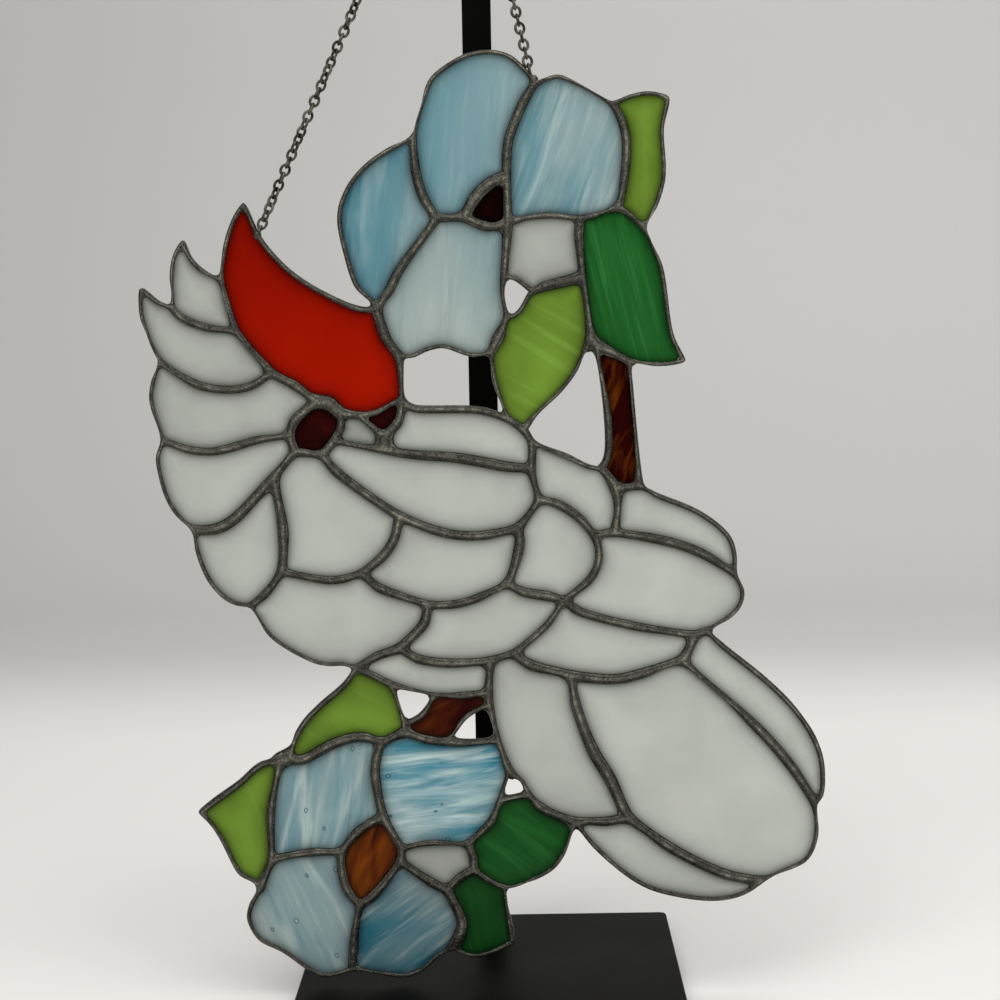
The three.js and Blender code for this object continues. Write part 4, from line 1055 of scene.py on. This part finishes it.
def chain_meshes(settings):
    """The left and the right run of the chain."""
    route = chain_route()
    steps = [(b - a).length for a, b in zip(route, route[1:])]
    total = sum(steps)
    last = 2 * round(total / settings.pitch / 2)
    top = round(sum(steps[:len(steps) // 2]) / total * last)
    runs = []
    for start, stop in ((0, top), (top + 1, last)):
        points = []
        faces = []
        for number in range(start, stop + 1):
            place, direction = along(route, number * total / last)
            twist = 2 * math.pi * settings.twists * number / top if number <= top else 0.0
            quarter = 0.0 if number % 2 else math.pi / 2
            faces += link_faces(settings, len(points))
            points += link_points(settings, place, direction, quarter + twist)
        mesh = bpy.data.meshes.new("chain")
        mesh.from_pydata(points, [], faces)
        close_up(mesh)
        runs.append(mesh)
    return runs


# ------------------------------------------------------------------ pieces
def piece(name, mesh, material, slot, *nodes, smooth=True):
    """A finished piece of the object that stands for those CAD nodes."""
    obj = bpy.data.objects.new(name, mesh)
    bpy.context.scene.collection.objects.link(obj)
    mesh.materials.clear()
    mesh.materials.append(material)
    if smooth:
        mesh.shade_smooth()
    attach(obj, ROOT)
    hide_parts(*nodes)
    return obj


def softened(name, node, bevel, material, slot):
    """The CAD node's own form with its edges rounded."""
    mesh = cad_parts[node].data.copy()
    bm = bmesh.new()
    bm.from_mesh(mesh)
    bmesh.ops.remove_doubles(bm, verts=bm.verts, dist=SAME_STEEL)
    bmesh.ops.dissolve_limit(bm, angle_limit=FLAT, verts=bm.verts, edges=bm.edges)
    bm.to_mesh(mesh)
    bm.free()
    obj = piece(name, mesh, material, slot, node)
    modifier = obj.modifiers.new("edges", "BEVEL")
    modifier.width = bevel
    modifier.segments = BEVEL_STEPS
    modifier.limit_method = "ANGLE"
    modifier.angle_limit = SHARP
    obj.modifiers.new("shading", "WEIGHTED_NORMAL").keep_sharp = True
    return obj


class SUNCATCHER_OT_solder(Operator):
    """Lays the beads of solder along every seam of the panel and round its rim"""
    bl_idname = "suncatcher.solder"
    bl_label = "Solder lattice"

    def execute(self, context):
        settings = context.scene.suncatcher_solder
        material = solder_material(settings)
        piece("solder", solder_mesh(settings), material, "solder", "solder_lattice")
        return {"FINISHED"}


class SUNCATCHER_OT_glass(Operator):
    """Cuts a pane of glass for every window of the lattice"""
    bl_idname = "suncatcher.glass"
    bl_label = "Glass panes"

    def execute(self, context):
        settings = context.scene.suncatcher_glass
        materials = glass_materials(settings)
        cells = {cell["name"]: cell for cell in lattice().cells}
        for number, (name, (glass, *_)) in enumerate(PANES.items()):
            mesh = pane_mesh(name, cells[name], settings, number)
            piece(name + "_pane", mesh, materials[glass], GLASS_SLOTS[glass], name, smooth=False)
        return {"FINISHED"}


class SUNCATCHER_OT_chain(Operator):
    """Hangs the two runs of chain from the hook"""
    bl_idname = "suncatcher.chain"
    bl_label = "Chain"

    def execute(self, context):
        material = chain_material()
        runs = chain_meshes(context.scene.suncatcher_chain)
        for side, mesh in zip(("left", "right"), runs):
            piece(f"{side}_chain", mesh, material, "chain_steel", f"chain_{side}")
        return {"FINISHED"}


class SUNCATCHER_OT_stand(Operator):
    """Makes the display stand: a square plate and a flat bar bent into a hook"""
    bl_idname = "suncatcher.stand"
    bl_label = "Display stand"

    def execute(self, context):
        settings = context.scene.suncatcher_stand
        material = black_steel_material(settings)
        softened("base_plate", "stand_base", settings.bevel, material, "black_steel")
        softened("hook_bar", "stand_bar", settings.bevel, material, "black_steel")
        return {"FINISHED"}


# ------------------------------------------------------------------ stage
def sweep(floor_colour, shaded_wall_colour):
    """A pale floor that curves up into a wall, whose duller colour is painted shade."""
    profile = [(FLOOR_FRONT, 0.0)]
    for i in range(BEND_STEPS + 1):
        a = math.pi / 2 * i / BEND_STEPS
        profile.append((WALL_BACK - BEND + BEND * math.sin(a), BEND - BEND * math.cos(a)))
    profile.append((WALL_BACK, WALL_HEIGHT))
    points = [(side * FLOOR_WIDTH / 2, y, z) for y, z in profile for side in (-1, 1)]
    faces = [(2 * i, 2 * i + 1, 2 * i + 3, 2 * i + 2) for i in range(len(profile) - 1)]
    mesh = bpy.data.meshes.new("floor")
    mesh.from_pydata(points, [], faces)
    mesh.shade_smooth()
    board = Board("pale_floor", Roughness=0.7, Specular_IOR_Level=0.2)
    depth = board.add("ShaderNodeSeparateXYZ", values={0: board.place()}, output=1)
    # Painted shade: the floor's colour gives way to the duller wall's between the seam's two
    # depths.
    shade = board.mix(depth.ramp(*SEAM), floor_colour, shaded_wall_colour)
    mesh.materials.append(board.finish(Base_Color=shade))
    floor = bpy.data.objects.new("floor", mesh)
    bpy.context.scene.collection.objects.link(floor)
    return floor


def soft_light(name, place, target, size, watts):
    data = bpy.data.lights.new(name, "AREA")
    data.shape = "RECTANGLE"
    data.size, data.size_y = size
    data.energy = watts
    light = bpy.data.objects.new(name, data)
    light.location = place
    light.rotation_euler = (Vector(target) - Vector(place)).to_track_quat("-Z", "Y").to_euler()
    bpy.context.scene.collection.objects.link(light)
    return light


def dim_world():
    world = bpy.data.worlds.new("studio")
    world.use_nodes = True
    background = world.node_tree.nodes["Background"]
    background.inputs["Color"].default_value = WORLD_COLOUR
    background.inputs["Strength"].default_value = WORLD_STRENGTH
    return world


def standing_camera(settings):
    data = bpy.data.cameras.new("camera")
    data.lens = settings.lens
    camera = bpy.data.objects.new("camera", data)
    camera.location = settings.eye
    aim = Euler((math.pi / 2 - settings.pitch, 0, settings.yaw)).to_matrix()
    camera.rotation_euler = (aim @ Matrix.Rotation(settings.roll, 3, "Z")).to_euler()
    bpy.context.scene.collection.objects.link(camera)
    return camera


class SUNCATCHER_OT_stage(Operator):
    """Sets the floor, the lights and the camera"""
    bl_idname = "suncatcher.stage"
    bl_label = "Stage"

    def execute(self, context):
        settings = context.scene.suncatcher_stage
        scene = context.scene
        scene.world = dim_world()
        scene.view_settings.view_transform = "Standard"
        scene.camera = standing_camera(settings)
        lights = [soft_light(name, *values) for name, values in LIGHTS.items()]
        sweep(settings.floor, settings.wall)
        return {"FINISHED"}


# ------------------------------------------------------------------ panel and registration
STEPS = ("solder", "glass", "chain", "stand", "stage")


class SUNCATCHER_PT_make(Panel):
    """The steps of making the suncatcher, and what each one can change"""
    bl_label = "Suncatcher"
    bl_idname = "SUNCATCHER_PT_make"
    bl_space_type = "VIEW_3D"
    bl_region_type = "UI"
    bl_category = "Suncatcher"

    def draw(self, context):
        for step in STEPS:
            box = self.layout.box()
            box.operator("suncatcher." + step)
            settings = getattr(context.scene, "suncatcher_" + step)
            for key in settings.bl_rna.properties.keys():
                if key not in ("rna_type", "name"):
                    box.prop(settings, key)


SETTINGS = {"solder": SolderSettings, "glass": GlassSettings, "chain": ChainSettings,
            "stand": StandSettings, "stage": StageSettings}
CLASSES = (*SETTINGS.values(), SUNCATCHER_OT_solder, SUNCATCHER_OT_glass, SUNCATCHER_OT_chain,
           SUNCATCHER_OT_stand, SUNCATCHER_OT_stage, SUNCATCHER_PT_make)


def register():
    for cls in CLASSES:
        bpy.utils.register_class(cls)
    for step, settings in SETTINGS.items():
        setattr(bpy.types.Scene, "suncatcher_" + step, PointerProperty(type=settings))


def unregister():
    for step in SETTINGS:
        delattr(bpy.types.Scene, "suncatcher_" + step)
    for cls in reversed(CLASSES):
        bpy.utils.unregister_class(cls)


def main():
    register()
    for step in STEPS:
        getattr(bpy.ops.suncatcher, step)()


if __name__ == "__main__":
    main()
